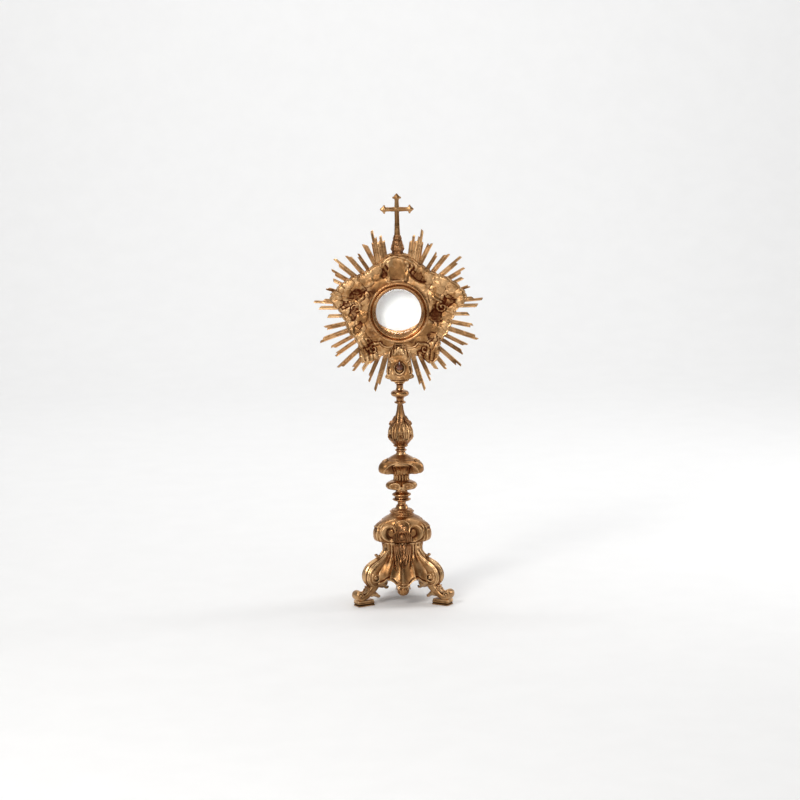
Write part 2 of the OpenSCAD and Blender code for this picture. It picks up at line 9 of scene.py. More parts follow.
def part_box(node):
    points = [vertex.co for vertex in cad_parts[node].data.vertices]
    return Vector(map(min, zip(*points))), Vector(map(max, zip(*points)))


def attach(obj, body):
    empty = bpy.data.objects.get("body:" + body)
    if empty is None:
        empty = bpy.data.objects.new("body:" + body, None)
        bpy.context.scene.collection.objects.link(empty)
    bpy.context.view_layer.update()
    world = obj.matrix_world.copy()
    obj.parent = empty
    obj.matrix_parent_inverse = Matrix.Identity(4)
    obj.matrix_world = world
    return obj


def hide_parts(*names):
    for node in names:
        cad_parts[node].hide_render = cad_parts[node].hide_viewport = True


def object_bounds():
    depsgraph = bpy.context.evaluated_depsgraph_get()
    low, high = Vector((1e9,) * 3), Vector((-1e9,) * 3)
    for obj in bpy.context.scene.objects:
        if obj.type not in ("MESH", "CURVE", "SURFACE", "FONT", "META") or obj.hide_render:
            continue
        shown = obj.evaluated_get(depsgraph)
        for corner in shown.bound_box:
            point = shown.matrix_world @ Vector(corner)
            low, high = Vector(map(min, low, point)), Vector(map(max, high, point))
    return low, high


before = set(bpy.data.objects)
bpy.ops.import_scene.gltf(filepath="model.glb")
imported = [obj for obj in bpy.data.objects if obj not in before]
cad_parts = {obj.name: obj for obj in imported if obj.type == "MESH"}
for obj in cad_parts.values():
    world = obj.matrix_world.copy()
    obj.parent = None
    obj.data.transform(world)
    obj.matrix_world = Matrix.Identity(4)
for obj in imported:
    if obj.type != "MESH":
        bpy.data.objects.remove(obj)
CAD_BOX = [list(c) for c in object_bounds()]


def middle(node):
    """Middle of a CAD node's box, in metres."""
    low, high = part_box(node)
    return (low + high) / 2


STEM_Y = middle("tie_rod").y * 1000
WINDOW_Z = middle("window_tube").z * 1000
PI = math.pi
UP = np.array([0, 0, 1.0])


def in_mm(box):
    """A CAD box's two corners in millimetres, measured from the stem's axis."""
    return [np.array(corner) * 1000 - np.array([0, STEM_Y, 0]) for corner in box]


# ---------------------------------------------------------------- numbers


def noise(p, size, seed=0):
    """Smooth value noise from -1 to 1 at points in millimetres; size is the width of a cell."""
    q = np.asarray(p, float) / size + seed * 17.31
    i = np.floor(q).astype(np.int64)
    f = q - i
    f = f * f * (3 - 2 * f)
    total = np.zeros(len(q))
    for dx in (0, 1):
        for dy in (0, 1):
            for dz in (0, 1):
                h = ((i[:, 0] + dx) * 374761393 + (i[:, 1] + dy) * 668265263 + (i[:, 2] + dz) * 2147483647
                    + seed * 974711)
                h = (h ^ (h >> 13)) * 1274126177
                h = (h ^ (h >> 16)) & 0xFFFF
                w = ((f[:, 0] if dx else 1 - f[:, 0]) * (f[:, 1] if dy else 1 - f[:, 1])
                    * (f[:, 2] if dz else 1 - f[:, 2]))
                total += w * (h / 32767.5 - 1)
    return total


def smooth(a, b, x):
    """From 0 at x = a to 1 at x = b, level at both ends."""
    t = np.clip((x - a) / (b - a), 0, 1)
    return t * t * (3 - 2 * t)


def bump(x, at, width):
    """A smooth bump of height 1 where x is at."""
    return np.exp(-((x - at) / width) ** 2)


def squared(x, power):
    """Bends a sine or cosine towards a square's side (below 1) or a lozenge's (above 1)."""
    return np.sign(x) * np.abs(x) ** power


def circle(n):
    return np.linspace(0, 2 * PI, n, endpoint=False)


def spline(points, n):
    """n points along a Catmull-Rom curve through the given ones, of any width."""
    p = np.array(points, float)
    ext = np.vstack([2 * p[0] - p[1], p, 2 * p[-1] - p[-2]])
    t = np.linspace(0, len(p) - 1 - 1e-9, n)
    k = t.astype(int)
    f = (t - k)[:, None]
    a, b, c, d = ext[k], ext[k + 1], ext[k + 2], ext[k + 3]
    return (0.5 * (2 * b + (c - a) * f + (2 * a - 5 * b + 4 * c - d) * f ** 2 + (3 * b - a - 3 * c + d)
        * f ** 3))


def outline(*items):
    """A turned profile. Two numbers are a corner; a third is the bulge of the arc that leads to it."""
    out = [np.array(items[0][:2], float)]
    for it in items[1:]:
        a, b = out[-1], np.array(it[:2], float)
        d = b - a
        length = math.hypot(*d)
        side = np.array([d[1], -d[0]]) / max(length, 1e-9)
        bulge = it[2] if len(it) > 2 else 0
        n = max(2, int(length / 0.45)) if bulge == 0 else max(8, int(length / 0.3))
        for k in range(1, n + 1):
            s = k / n
            if bulge == 0:
                out.append(a + d * s)
            else:
                h = abs(bulge)
                half = length / 2
                r = (half * half + h * h) / (2 * h)
                x = (s - 0.5) * length
                y = math.sqrt(max(r * r - x * x, 0)) - (r - h)
                out.append(a + d * s + side * y * (1 if bulge > 0 else -1))
    return np.array(out)


# ---------------------------------------------------------------- meshes


def hollows(v, quads, reach):
    """How far each vertex lies below its smoothed surroundings, in millimetres: above zero in a crevice."""
    e = np.vstack([quads[:, [0, 1]], quads[:, [1, 2]], quads[:, [2, 3]], quads[:, [3, 0]]])
    e = np.vstack([e, e[:, ::-1]])
    n = len(v)
    deg = np.maximum(np.bincount(e[:, 0], minlength=n), 1)[:, None]
    step = np.median(np.linalg.norm(v[e[:, 0]] - v[e[:, 1]], axis=1))
    rounds = int(np.clip((reach / max(step, 1e-6)) ** 2, 3, 36))
    p = v.copy()
    for _ in range(rounds):
        p = 0.4 * p + 0.6 * np.stack([np.bincount(e[:, 0], p[e[:, 1], k], n) for k in range(3)], 1) / deg
    nrm = np.zeros_like(v)
    fn = np.cross(v[quads[:, 2]] - v[quads[:, 0]], v[quads[:, 3]] - v[quads[:, 1]])
    for k in range(4):
        for c in range(3):
            nrm[:, c] += np.bincount(quads[:, k], fn[:, c], n)
    nrm /= np.maximum(np.linalg.norm(nrm, axis=1), 1e-12)[:, None]
    return np.einsum("ij,ij->i", nrm, p - v)


class Part:
    """Collects grids of points in millimetres about the stem's axis, and makes one mesh of them."""

    def __init__(self):
        self.v, self.q, self.count = [], [], 0

    def add(self, verts, quads):
        verts, quads = np.asarray(verts, float).reshape(-1, 3), np.asarray(quads, np.int64)
        p = verts[quads]
        flux = np.einsum("ij,ij->i", p.mean(1) - verts.mean(0),
            np.cross(p[:, 2] - p[:, 0], p[:, 3] - p[:, 1])).sum()
        self.v.append(verts)
        self.q.append((quads[:, ::-1] if flux < 0 else quads) + self.count)
        self.count += len(verts)
        return self

    def tube(self, grid):
        """Rows of closed rings, with both ends filled in towards their middles."""
        rows, cols = grid.shape[:2]
        ends = [grid[i].mean(0) + (grid[i] - grid[i].mean(0)) * s for i in (0, -1) for s in (0.5, 0.02)]
        g = np.concatenate([[ends[1]], [ends[0]], grid, [ends[2]], [ends[3]]])
        rows += 4
        i, j = np.meshgrid(np.arange(rows - 1), np.arange(cols), indexing="ij")
        k = (j + 1) % cols
        quads = np.stack([i * cols + j, i * cols + k, (i + 1) * cols + k, (i + 1) * cols + j],
            -1).reshape(-1, 4)
        return self.add(g, quads)

    def torus(self, grid):
        """Rows of closed rings, closed again from the last row to the first."""
        rows, cols = grid.shape[:2]
        i, j = np.meshgrid(np.arange(rows), np.arange(cols), indexing="ij")
        k, m = (j + 1) % cols, (i + 1) % rows
        quads = np.stack([i * cols + j, i * cols + k, m * cols + k, m * cols + j], -1).reshape(-1, 4)
        return self.add(grid, quads)

    def sheet(self, top, bottom):
        """A thin shell between two open grids of the same size."""
        rows, cols = top.shape[:2]
        ring = np.concatenate([top, bottom[:, ::-1]], axis=1)
        n = cols * 2
        i, j = np.meshgrid(np.arange(rows - 1), np.arange(n), indexing="ij")
        k = (j + 1) % n
        quads = [np.stack([i * n + j, i * n + k, (i + 1) * n + k, (i + 1) * n + j], -1).reshape(-1, 4)]
        for row in (0, rows - 1):
            j = np.arange(cols - 1)
            cap = np.stack([row * n + j, row * n + j + 1, row * n + n - 2 - j, row * n + n - 1 - j], -1)
            quads.append(cap if row == 0 else cap[:, ::-1])
        return self.add(ring, np.concatenate(quads))

    def wobble(self, amount, size=9.0, seed=1):
        """Small unevenness of hand work."""
        for v in self.v:
            for k in range(3):
                v[:, k] += amount * noise(v, size, seed + k)
        return self

    def make(self, name, material, body, nodes, reach=1.6, sharp=38, gain=1.0, shade=0.0):
        """One mesh of all the grids, with its hollows and painted shade stored for the gilding, on its body
        and slot.
        """
        v, q = np.vstack(self.v), np.vstack(self.q)
        # Stored value: hollows, for patina and partly painted shade in crevices, plus shade, which on the
        # cloud plate is painted shade and painted highlight and on the ornaments a darker tone.
        cavity_and_painted_shade = np.clip(hollows(v, q, reach) * gain / 0.35 + shade, -1, 1)
        co = v / 1000
        co[:, 1] += STEM_Y / 1000
        me = bpy.data.meshes.new(name)
        me.vertices.add(len(co))
        me.vertices.foreach_set("co", co.astype(np.float32).ravel())
        me.loops.add(q.size)
        me.loops.foreach_set("vertex_index", q.astype(np.int32).ravel())
        me.polygons.add(len(q))
        me.polygons.foreach_set("loop_start", np.arange(0, q.size, 4, dtype=np.int32))
        me.update(calc_edges=True)
        me.validate()
        me.shade_smooth()
        me.set_sharp_from_angle(angle=math.radians(sharp))
        me.attributes.new("hollow", "FLOAT", "POINT").data.foreach_set("value", cavity_and_painted_shade.astype(np.float32))
        me.materials.append(MATERIALS[material])
        ob = bpy.data.objects.new(name, me)
        bpy.context.scene.collection.objects.link(ob)
        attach(ob, body)
        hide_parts(*nodes)


def around_stem(prof, n=160, mod=None):
    """Rings of a profile of (radius, height) about the stem; mod(angle, radius, height) reshapes it."""
    r, z = prof[:, 0][:, None], prof[:, 1][:, None]
    a = circle(n)[None, :]
    r, z, a = np.broadcast_arrays(r, z, a)
    if mod:
        r, z = mod(a, r, z)
    return np.stack([r * np.cos(a), r * np.sin(a), z + 0 * r], -1)


def around_window(prof, n=240, mod=None):
    """Rings of a profile of (radius, y) about the window's axis."""
    g = around_stem(prof, n, mod)
    return np.stack([g[..., 0], g[..., 2], g[..., 1] + WINDOW_Z], -1)


def sweep(path, wide, thick, side, n=28, power=0.8, groove=None):
    """A bar along a path of points, with a soft-cornered section; groove(t, angle) swells or cuts it."""
    k = len(path)
    tan = np.gradient(path, axis=0)
    tan /= np.linalg.norm(tan, axis=1)[:, None]
    side = np.broadcast_to(np.asarray(side, float), path.shape)
    up = np.cross(side, tan)
    up /= np.linalg.norm(up, axis=1)[:, None]
    a = circle(n)
    cx, sx = squared(np.cos(a), power), squared(np.sin(a), power)
    t = np.linspace(0, 1, k)
    g = groove(t[:, None], a[None, :]) if groove else np.zeros((k, n))
    w = wide[:, None] * cx[None, :]
    h = thick[:, None] * sx[None, :] + g * sx[None, :]
    return path[:, None, :] + side[:, None, :] * w[..., None] + up[:, None, :] * h[..., None]


def radial(angle):
    """Directions outwards and sideways at an angle about the stem, in degrees."""
    a = math.radians(angle)
    return np.array([math.cos(a), math.sin(a), 0]), np.array([-math.sin(a), math.cos(a), 0])


def leaf(part, path, width, angle, thick=0.9, lobes=3, cup=0.25, rib=0.5, origin=(0, 0, 0), turn=None,
        rows=44, cols=21):
    """A chased leaf. path is (out, up) along its middle, from the axis; width is half its width."""
    out, side, up = turn or (*radial(angle), UP)
    p = spline(path, rows)
    v = np.linspace(0, 1, rows)[:, None]
    u = np.linspace(-1, 1, cols)[None, :]
    body = np.sin(PI * np.clip(0.12 + 0.88 * v, 0, 1) ** 0.8) ** 0.7
    teeth = 1 + 0.16 * np.abs(np.sin(PI * lobes * v)) * smooth(0.05, 0.3, v)
    lat = u * width * body * teeth
    tan = np.gradient(p, axis=0)
    tan /= np.linalg.norm(tan, axis=1)[:, None]
    nrm = np.stack([tan[:, 1], -tan[:, 0]], 1)
    lift = -cup * width * u ** 2 * body + rib * bump(u, 0, 0.14) * (1 - v)
    lift = lift + 0.28 * np.cos(2 * PI * (lobes * v - 0.9 * np.abs(u))) * np.abs(u) ** 0.6 * (1 - 0.4 * v)
    out_r = p[:, 0][:, None] + nrm[:, 0][:, None] * lift
    up_z = p[:, 1][:, None] + nrm[:, 1][:, None] * lift
    top = np.asarray(origin) + out_r[..., None] * out + up_z[..., None] * up + lat[..., None] * side
    low = top - thick * (nrm[:, 0][:, None, None] * out + nrm[:, 1][:, None, None] * up)
    part.sheet(top, low)


def ball(part, centre, r, squash=(1, 1, 1), n=36):
    """A ball of n rings, squashed along the axes."""
    t = np.linspace(0.02, PI - 0.02, n)[:, None]
    a = np.linspace(0, 2 * PI, n * 2, endpoint=False)[None, :]
    g = (np.stack([np.sin(t) * np.cos(a), np.sin(t) * np.sin(a), np.cos(t) + 0 * a], -1) * r
        * np.array(squash))
    part.tube(g + np.array(centre))


def coil(part, centre, out, side, r, half, turns, thick, start, sense):
    """A scroll's rolled end: a spiral band with its eye in the middle."""
    t = np.linspace(0, 1, 90)
    a = start + sense * turns * 2 * PI * t
    rad = r * (1 - 0.82 * t)
    path = np.asarray(centre) + rad[:, None] * (np.cos(a)[:, None] * out + np.sin(a)[:, None] * UP)
    part.tube(sweep(path, half * (1 - 0.12 * t), thick * (1 - 0.45 * t), side, n=20, power=0.7))
    ball(part, centre, r * 0.3, n=14)


# ---------------------------------------------------------------- materials

SLOTS = {
    "cast": "gilt_cast", "turned": "gilt_turned", "red": "gilt_red", "sheet": "gilt_sheet",
    "dark": "dark_brass",
    "steel": "steel", "glass": "clear_glass", "wafer": "wafer", "stone": "brown_stone",
}


def new_material(name):
    """A material, its node tree, its Principled shader and the object's coordinates."""
    m = bpy.data.materials.new(name)
    m.use_nodes = True
    nt = m.node_tree
    return m, nt, nt.nodes["Principled BSDF"], nt.nodes.new("ShaderNodeTexCoord").outputs["Object"]


def link(nt, a, b):
    nt.links.new(a, b)


def add_noise(nt, vec, scale, detail=4.0, rough=0.55, stretch=None):
    n = nt.nodes.new("ShaderNodeTexNoise")
    n.inputs["Scale"].default_value = scale
    n.inputs["Detail"].default_value = detail
    n.inputs["Roughness"].default_value = rough
    if stretch:
        mp = nt.nodes.new("ShaderNodeMapping")
        mp.inputs["Scale"].default_value = stretch
        link(nt, vec, mp.inputs["Vector"])
        vec = mp.outputs["Vector"]
    link(nt, vec, n.inputs["Vector"])
    return n.outputs["Fac"]


def add_map(nt, value, low, high, to_low, to_high):
    n = nt.nodes.new("ShaderNodeMapRange")
    n.interpolation_type = "SMOOTHSTEP"
    for key, x in (("From Min", low), ("From Max", high), ("To Min", to_low), ("To Max", to_high)):
        n.inputs[key].default_value = x
    link(nt, value, n.inputs["Value"])
    return n.outputs["Result"]


def add_math(nt, op, a, b):
    n = nt.nodes.new("ShaderNodeMath")
    n.operation = op
    for i, x in enumerate((a, b)):
        if isinstance(x, (int, float)):
            n.inputs[i].default_value = x
        else:
            link(nt, x, n.inputs[i])
    return n.outputs[0]


def add_times(nt, a, factor):
    return add_math(nt, "MULTIPLY", a, factor)


def add_sum(nt, a, b):
    return add_math(nt, "ADD", a, b)


def add_centred(nt, value, factor):
    """A noise value about zero instead of 0.5, times a factor."""
    return add_times(nt, add_math(nt, "SUBTRACT", value, 0.5), factor)


def add_bump(nt, shader, height, strength, distance):
    b = nt.nodes.new("ShaderNodeBump")
    b.inputs["Strength"].default_value = strength
    b.inputs["Distance"].default_value = distance
    link(nt, height, b.inputs["Height"])
    link(nt, b.outputs["Normal"], shader.inputs["Normal"])


def add_mix(nt, fac, a, b):
    n = nt.nodes.new("ShaderNodeMix")
    n.data_type = "RGBA"
    link(nt, fac, n.inputs["Factor"])
    for key, x in (("A", a), ("B", b)):
        sock = [s for s in n.inputs if s.name == key and s.type == "RGBA"][0]
        if isinstance(x, tuple):
            sock.default_value = (*x, 1)
        else:
            link(nt, x, sock)
    return [s for s in n.outputs if s.type == "RGBA"][0]


def srgb(r, g, b):
    f = lambda c: ((c / 255 + 0.055) / 1.055) ** 2.4 if c > 10 else c / 255 / 12.92
    return (f(r), f(g), f(b))


def gilt(name, bright, mid, brown_and_painted_shade, rough=0.3, tarnish=0.5, grain=0.12, lines=None, patches=0.35):
    """Aged gilding: bright on ridges, brownish in crevices as patina and partly painted shade, with cloudy
    tarnish, worn patches and pits.
    """
    m, nt, p, tc = new_material(name)
    at = nt.nodes.new("ShaderNodeAttribute")
    at.attribute_name = "hollow"
    cavity_and_painted_shade = at.outputs["Fac"]
    broad = add_noise(nt, tc, 38, 5, 0.6)
    fine = add_noise(nt, tc, 240, 6, 0.65)
    speck = add_noise(nt, tc, 900, 3, 0.6)
    # Brighter where the stored value is low: on ridges, and on the cloud plate where a painted highlight lies
    # along the rim bank.
    ridge = add_sum(nt, add_times(nt, cavity_and_painted_shade, -1.0), add_centred(nt, fine, 0.7))
    deep = add_sum(nt, cavity_and_painted_shade, add_centred(nt, broad, 1.3))
    deep = add_sum(nt, deep, add_centred(nt, fine, 0.5))
    c = add_mix(nt, add_map(nt, ridge, 0.1, 0.75, 0, 1), mid, bright)
    c = add_mix(nt, add_map(nt, broad, 0.5, 0.72, 0, tarnish), c, tuple(x * 0.62 for x in mid))
    worn = add_noise(nt, tc, 55, 2, 0.5)
    c = add_mix(nt, add_map(nt, worn, 0.535, 0.56, 0, patches), c, tuple(x * 0.5 for x in mid))
    c = add_mix(nt, add_map(nt, worn, 0.47, 0.44, 0, patches * 0.8), c, bright)
    # Crevices go darker: patina, and partly painted shade standing in for occlusion; on the cloud plate also
    # painted shade in its dips.
    patina_and_painted_shade = add_map(nt, deep, 0.06, 0.58, 0, 1.0)
    c = add_mix(nt, patina_and_painted_shade, c, brown_and_painted_shade)
    c = add_mix(nt, add_map(nt, speck, 0.66, 0.76, 0, 0.5), c, tuple(x * 0.8 for x in brown_and_painted_shade))
    link(nt, c, p.inputs["Base Color"])
    p.inputs["Metallic"].default_value = 1.0
    r = add_sum(nt, add_map(nt, broad, 0.3, 0.75, rough - 0.06, rough + 0.16), add_times(nt, patina_and_painted_shade, 0.26))
    r = add_sum(nt, r, add_map(nt, fine, 0.35, 0.7, -0.04, 0.07))
    link(nt, r, p.inputs["Roughness"])
    h = add_sum(nt, add_times(nt, fine, 0.8), add_times(nt, speck, 0.35))
    if lines:
        h = add_sum(nt, h, add_times(nt, add_noise(nt, tc, 60, 3, 0.7, lines), 1.1))
    add_bump(nt, p, h, grain, 0.0006)
    return m


def steel_material():
    m, nt, p, tc = new_material("old_steel")
    n = add_noise(nt, tc, 300, 5, 0.6)
    link(nt, add_mix(nt, add_map(nt, n, 0.4, 0.65, 0, 1), srgb(120, 116, 110), srgb(86, 62, 44)),
        p.inputs["Base Color"])
    link(nt, add_map(nt, n, 0.3, 0.7, 0.35, 0.7), p.inputs["Roughness"])
    p.inputs["Metallic"].default_value = 1.0
    return m


def glass_material():
    m, nt, p, tc = new_material("old_glass")
    p.inputs["Base Color"].default_value = (1.0, 1.0, 1.0, 1)
    p.inputs["Transmission Weight"].default_value = 1.0
    p.inputs["IOR"].default_value = 1.45
    link(nt, add_map(nt, add_noise(nt, tc, 120, 4), 0.5, 0.8, 0.01, 0.09), p.inputs["Roughness"])
    add_bump(nt, p, add_noise(nt, tc, 45, 2), 0.03, 0.0004)
    # lamps shine through it
    clear = nt.nodes.new("ShaderNodeBsdfTransparent")
    mix = nt.nodes.new("ShaderNodeMixShader")
    link(nt, nt.nodes.new("ShaderNodeLightPath").outputs["Is Shadow Ray"], mix.inputs[0])
    link(nt, p.outputs["BSDF"], mix.inputs[1])
    link(nt, clear.outputs["BSDF"], mix.inputs[2])
    link(nt, mix.outputs["Shader"], nt.nodes["Material Output"].inputs["Surface"])
    return m


def wafer_material():
    m, nt, p, tc = new_material("baked_wafer")
    n = add_noise(nt, tc, 420, 5, 0.65)
    big = add_noise(nt, tc, 30, 3)
    c = add_mix(nt, add_map(nt, n, 0.35, 0.7, 0, 1), (0.97, 0.965, 0.95), (0.93, 0.925, 0.9))
    c = add_mix(nt, add_map(nt, big, 0.55, 0.75, 0, 0.35), c, (0.92, 0.9, 0.86))
    link(nt, c, p.inputs["Base Color"])
    link(nt, add_map(nt, n, 0.3, 0.7, 0.62, 0.85), p.inputs["Roughness"])
    p.inputs["Subsurface Weight"].default_value = 0.08
    add_bump(nt, p, n, 0.25, 0.0003)
    return m


def stone_material():
    m, nt, p, tc = new_material("smoky_stone")
    n = add_noise(nt, tc, 130, 5, 0.6)
    c = add_mix(nt, add_map(nt, n, 0.35, 0.68, 0, 1), srgb(58, 26, 14), srgb(112, 58, 26))
    link(nt, c, p.inputs["Base Color"])
    link(nt, add_map(nt, add_noise(nt, tc, 500, 3), 0.4, 0.7, 0.08, 0.22), p.inputs["Roughness"])
    p.inputs["Coat Weight"].default_value = 0.6
    add_bump(nt, p, n, 0.05, 0.0003)
    return m


def floor_material():
    m, nt, p, tc = new_material("studio_paper")
    n = add_noise(nt, tc, 14, 6, 0.6)
    link(nt, add_mix(nt, add_map(nt, n, 0.3, 0.7, 0, 1), (0.885, 0.885, 0.885), (0.9, 0.9, 0.9)),
        p.inputs["Base Color"])
    link(nt, add_map(nt, n, 0.3, 0.7, 0.75, 0.9), p.inputs["Roughness"])
    return m


BRIGHT, MID, BROWN = srgb(218, 177, 129), srgb(158, 114, 72), srgb(80, 32, 14)
MATERIALS = {
    "cast": gilt("gilt_casting", BRIGHT, MID, BROWN, rough=0.3, tarnish=0.55, grain=0.16),
    "turned": gilt("gilt_turning", BRIGHT, srgb(174, 126, 82), BROWN, rough=0.25, tarnish=0.45, grain=0.1,
        lines=(1, 1, 60)),
    "red": gilt("reddish_gilding", srgb(200, 152, 108), srgb(140, 96, 60), srgb(76, 30, 15), rough=0.33,
        tarnish=0.6, grain=0.18),
    "sheet": gilt("gilt_sheet", BRIGHT, srgb(165, 119, 74), BROWN, rough=0.33, tarnish=0.4, grain=0.2,
        patches=0.5),
    "dark": gilt("brown_brass", srgb(176, 136, 92), srgb(132, 96, 58), srgb(58, 34, 18), rough=0.42,
        tarnish=0.6, grain=0.2),
    "steel": steel_material(),
    "glass": glass_material(),
    "wafer": wafer_material(),
    "stone": stone_material(),
}
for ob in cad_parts.values():
    for s in ob.material_slots:
        word = next((key for key, x in SLOTS.items() if s.material and s.material.name.startswith(x)), None)
        if word:
            s.material = MATERIALS[word]

# ---------------------------------------------------------------- foot

LEGS = {"leg_rear": 90, "leg_front_right": 330, "leg_front_left": 210}
FACES = (270, 30, 150)


def to_leg(p, angle):
    """Points from rows that start with (reach, height), in a leg's middle plane."""
    return p[:, :1] * radial(angle)[0] + p[:, 1:2] * UP


def make_leg(name, angle):
    part = Part()
    out, side = radial(angle)
    # the scrolled shoulder: (reach, height, half its thickness, half its width)
    c = spline([
        (29, 93, 2.5, 7), (31.5, 84, 4, 8), (37, 75, 6, 9.5), (45, 67.5, 8.2, 11), (53.5, 61.5, 10.4, 12),
        (60, 54, 12, 12.2), (62.5, 46, 11.8, 11.8), (60.5, 39.5, 9.8, 10.6), (55.5, 36.2, 7, 9),
        (51.5, 38, 4.5, 8)], 110)
    path = to_leg(c, angle)

    def flutes(t, a):
        x = np.cos(a)
        front = smooth(0.05, 0.5, np.sin(a))
        fade = smooth(0.0, 0.2, t) * smooth(1.0, 0.8, t)
        return front * fade * (1.5 * np.cos(2 * PI * 1.5 * x) - 0.5 * np.abs(x) ** 6)

    part.tube(sweep(path, c[:, 3], c[:, 2], -side, n=84, power=0.72, groove=flutes))
    # raised beads along both edges of the shoulder
    tan = np.gradient(c[:, :2], axis=0)
    tan /= np.linalg.norm(tan, axis=1)[:, None]
    nrm = np.stack([-tan[:, 1], tan[:, 0]], 1)
    bead = to_leg(c[:, :2] + nrm * (c[:, 2:3] * 0.62), angle)
    t = np.linspace(0, 1, len(c))
    grow = smooth(0, 0.15, t) * smooth(1, 0.85, t)
    for s in (-1, 1):
        p3 = bead + side * (s * (c[:, 3:4] * 0.93))
        part.tube(sweep(p3, 1.3 * grow + 0.15, 1.5 * grow + 0.15, -side, n=16, power=1.0))
        coil(part, out * 57 + UP * 46 + side * (s * 10.2), out, side, 9.0, 2.6, 1.5, 1.7, 0.9, -1)
    # the shank, and the toe that curls up
    c = spline([
        (44, 46, 6, 7), (50.6, 37.4, 7.2, 8), (57.8, 28.4, 7.6, 8.2), (65.6, 20.8, 6.4, 8.2),
        (74, 14.8, 5, 8.4), (83, 12.4, 4.4, 9),
        (89.4, 15.4, 3.9, 9.4), (90.6, 21, 3.2, 9.4), (86.8, 24.2, 2.6, 9), (83, 22, 2.1, 8.6),
        (84.4, 18.4, 1.7, 8.2)], 120)
    path = to_leg(c, angle)

    def ridge(t, a):
        x = np.cos(a)
        return (smooth(0.0, 0.5, np.sin(a)) * smooth(0.1, 0.25, t)
            * (1.0 * bump(x, 0, 0.2) + 0.7 * bump(np.abs(x), 0.8, 0.16)))

    part.tube(sweep(path, c[:, 3], c[:, 2], -side, n=64, power=0.75, groove=ridge))
    sole = spline([(61, 8, 1.9, 8.6), (70, 7.9, 2.1, 9), (80, 7.9, 2.1, 9), (89.2, 8, 1.9, 8.8)], 40)
    path = to_leg(sole, angle)
    part.tube(sweep(path, sole[:, 3], sole[:, 2], -side, n=40, power=0.45))
    for s in (-1, 1):
        coil(part, out * 85.6 + UP * 18.6 + side * (s * 8.6), out, side, 5.2, 1.4, 1.4, 1.1, 0.2, 1)
        coil(part, out * 68 + UP * 26 + side * (s * 4), out, side, 3.6, 2.6, 1.2, 1.1, 3.4, -1)
    # leaf spurs behind the shank, and the leaf on its front
    for pts in (
            [(48, 38, 4.6, 6.4), (42.4, 33.2, 4.0, 5.8), (36, 27.5, 2.4, 4.6), (31.6, 24.6, 1.6, 3.4),
                (28.6, 27, 0.8, 2)],
            [(64, 17, 4.2, 7), (57, 17.4, 4.2, 6.6), (51, 14.4, 3.0, 5.2), (47.6, 11.4, 1.8, 3.6),
                (45.2, 13.2, 0.8, 2)],
            [(72, 21, 1, 6), (69, 26.5, 1.6, 5), (70.5, 31, 1.2, 3.4), (73.4, 32.2, 0.6, 1.6)]):
        s = spline(pts, 46)
        path = to_leg(s, angle)
        part.tube(sweep(path, s[:, 3], s[:, 2], -side, n=36, power=0.8,
                        groove=lambda t, a: 0.35 * np.cos(6 * np.cos(a)) * smooth(0, 0.3, t)))
    leaf(part, [(59, 36), (66, 28), (73, 21.5), (79, 19.4), (83, 21.5)], 6.6, angle, lobes=4, cup=0.2,
        rib=0.8, rows=54)
    part.wobble(0.28, 8, 3)
    part.make(name, "cast", "stand", [name], reach=1.8)


for leg_name, leg_angle in LEGS.items():
    make_leg(leg_name, leg_angle)

# The blocks' distance from the stem, half length and half width; the buds' distance.
BLOCK_AT, BLOCK_LONG, BLOCK_WIDE = 74.5, 15.5, 10
BUD_AT = 48
plinths = Part()
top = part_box("foot_plinths")[1].z * 1000
a = circle(72)
for leg_angle in LEGS.values():
    out, side = radial(leg_angle)
    rings = []
    for z, grow in (
            (0, -0.5), (0.5, 0), (1.6, 0), (2.2, -0.8), (top - 2.4, -0.9), (top - 1.6, -0.1),
            (top - 0.5, 0), (top, -0.5)):
        u = squared(np.cos(a), 0.22) * (BLOCK_LONG + grow)
        w = squared(np.sin(a), 0.22) * (BLOCK_WIDE + grow)
        rings.append((BLOCK_AT + u)[:, None] * out + w[:, None] * side + np.array([0, 0, z]))
    plinths.tube(np.array(rings))
plinths.make("toe_blocks", "dark", "stand", ["foot_plinths"], sharp=30)

curls = Part()
for leg_angle in LEGS.values():
    out, side = radial(leg_angle)
    stem = outline((0.1, 66), (1.8, 66), (1.8, 74.2), (3.0, 74.6), (3.0, 75.4, 0.4), (1.5, 76), (1.4, 78),
        (2.2, 79.4), (0.1, 80.2))
    curls.tube(around_stem(stem, 40) + out * BUD_AT)
    for s in (-1, 1):
        path = spline([(0, 79.2), (2.4 * s, 80.2), (4.6 * s, 81.6), (6.0 * s, 80.6), (5.2 * s, 79.0),
            (4.2 * s, 79.8)], 40)
        p3 = out * BUD_AT + path[:, :1] * side + path[:, 1:] * UP
        curls.tube(sweep(p3, np.linspace(2.6, 1.9, 40), np.linspace(1.3, 0.8, 40), out, n=20))
curls.make("shoulder_buds", "cast", "stand", ["shoulder_curls"], reach=0.8)

# ---------------------------------------------------------------- bell and cap

BELL_TOP = 101.0
BELL_WALL = 2.6
# The inside stops at this radius, and a flute comes every 180 / FLUTE degrees.
INSIDE_R = 44
FLUTE = 7.5
# The bell's profile as (radius, height), at the middle of a face and at a leg.
FACE_LINE = spline([(28.5, 101), (27, 95), (27, 87), (28.6, 79), (32.4, 70.5), (37.8, 62), (43.6, 53),
    (47.6, 45.5), (49.6, 39), (50, 33)], 160)
LEG_LINE = spline([(33, 101), (31.6, 95), (31.8, 87), (34, 79.5), (39, 72.5), (45, 65), (49.5, 56),
    (51, 49), (51, 43), (51, 33)], 160)


def from_face(a):
    """Angle in degrees from the middle of the nearest face, -60 to 60; a leg is at both ends."""
    return (np.degrees(a) - 30 + 60) % 120 - 60


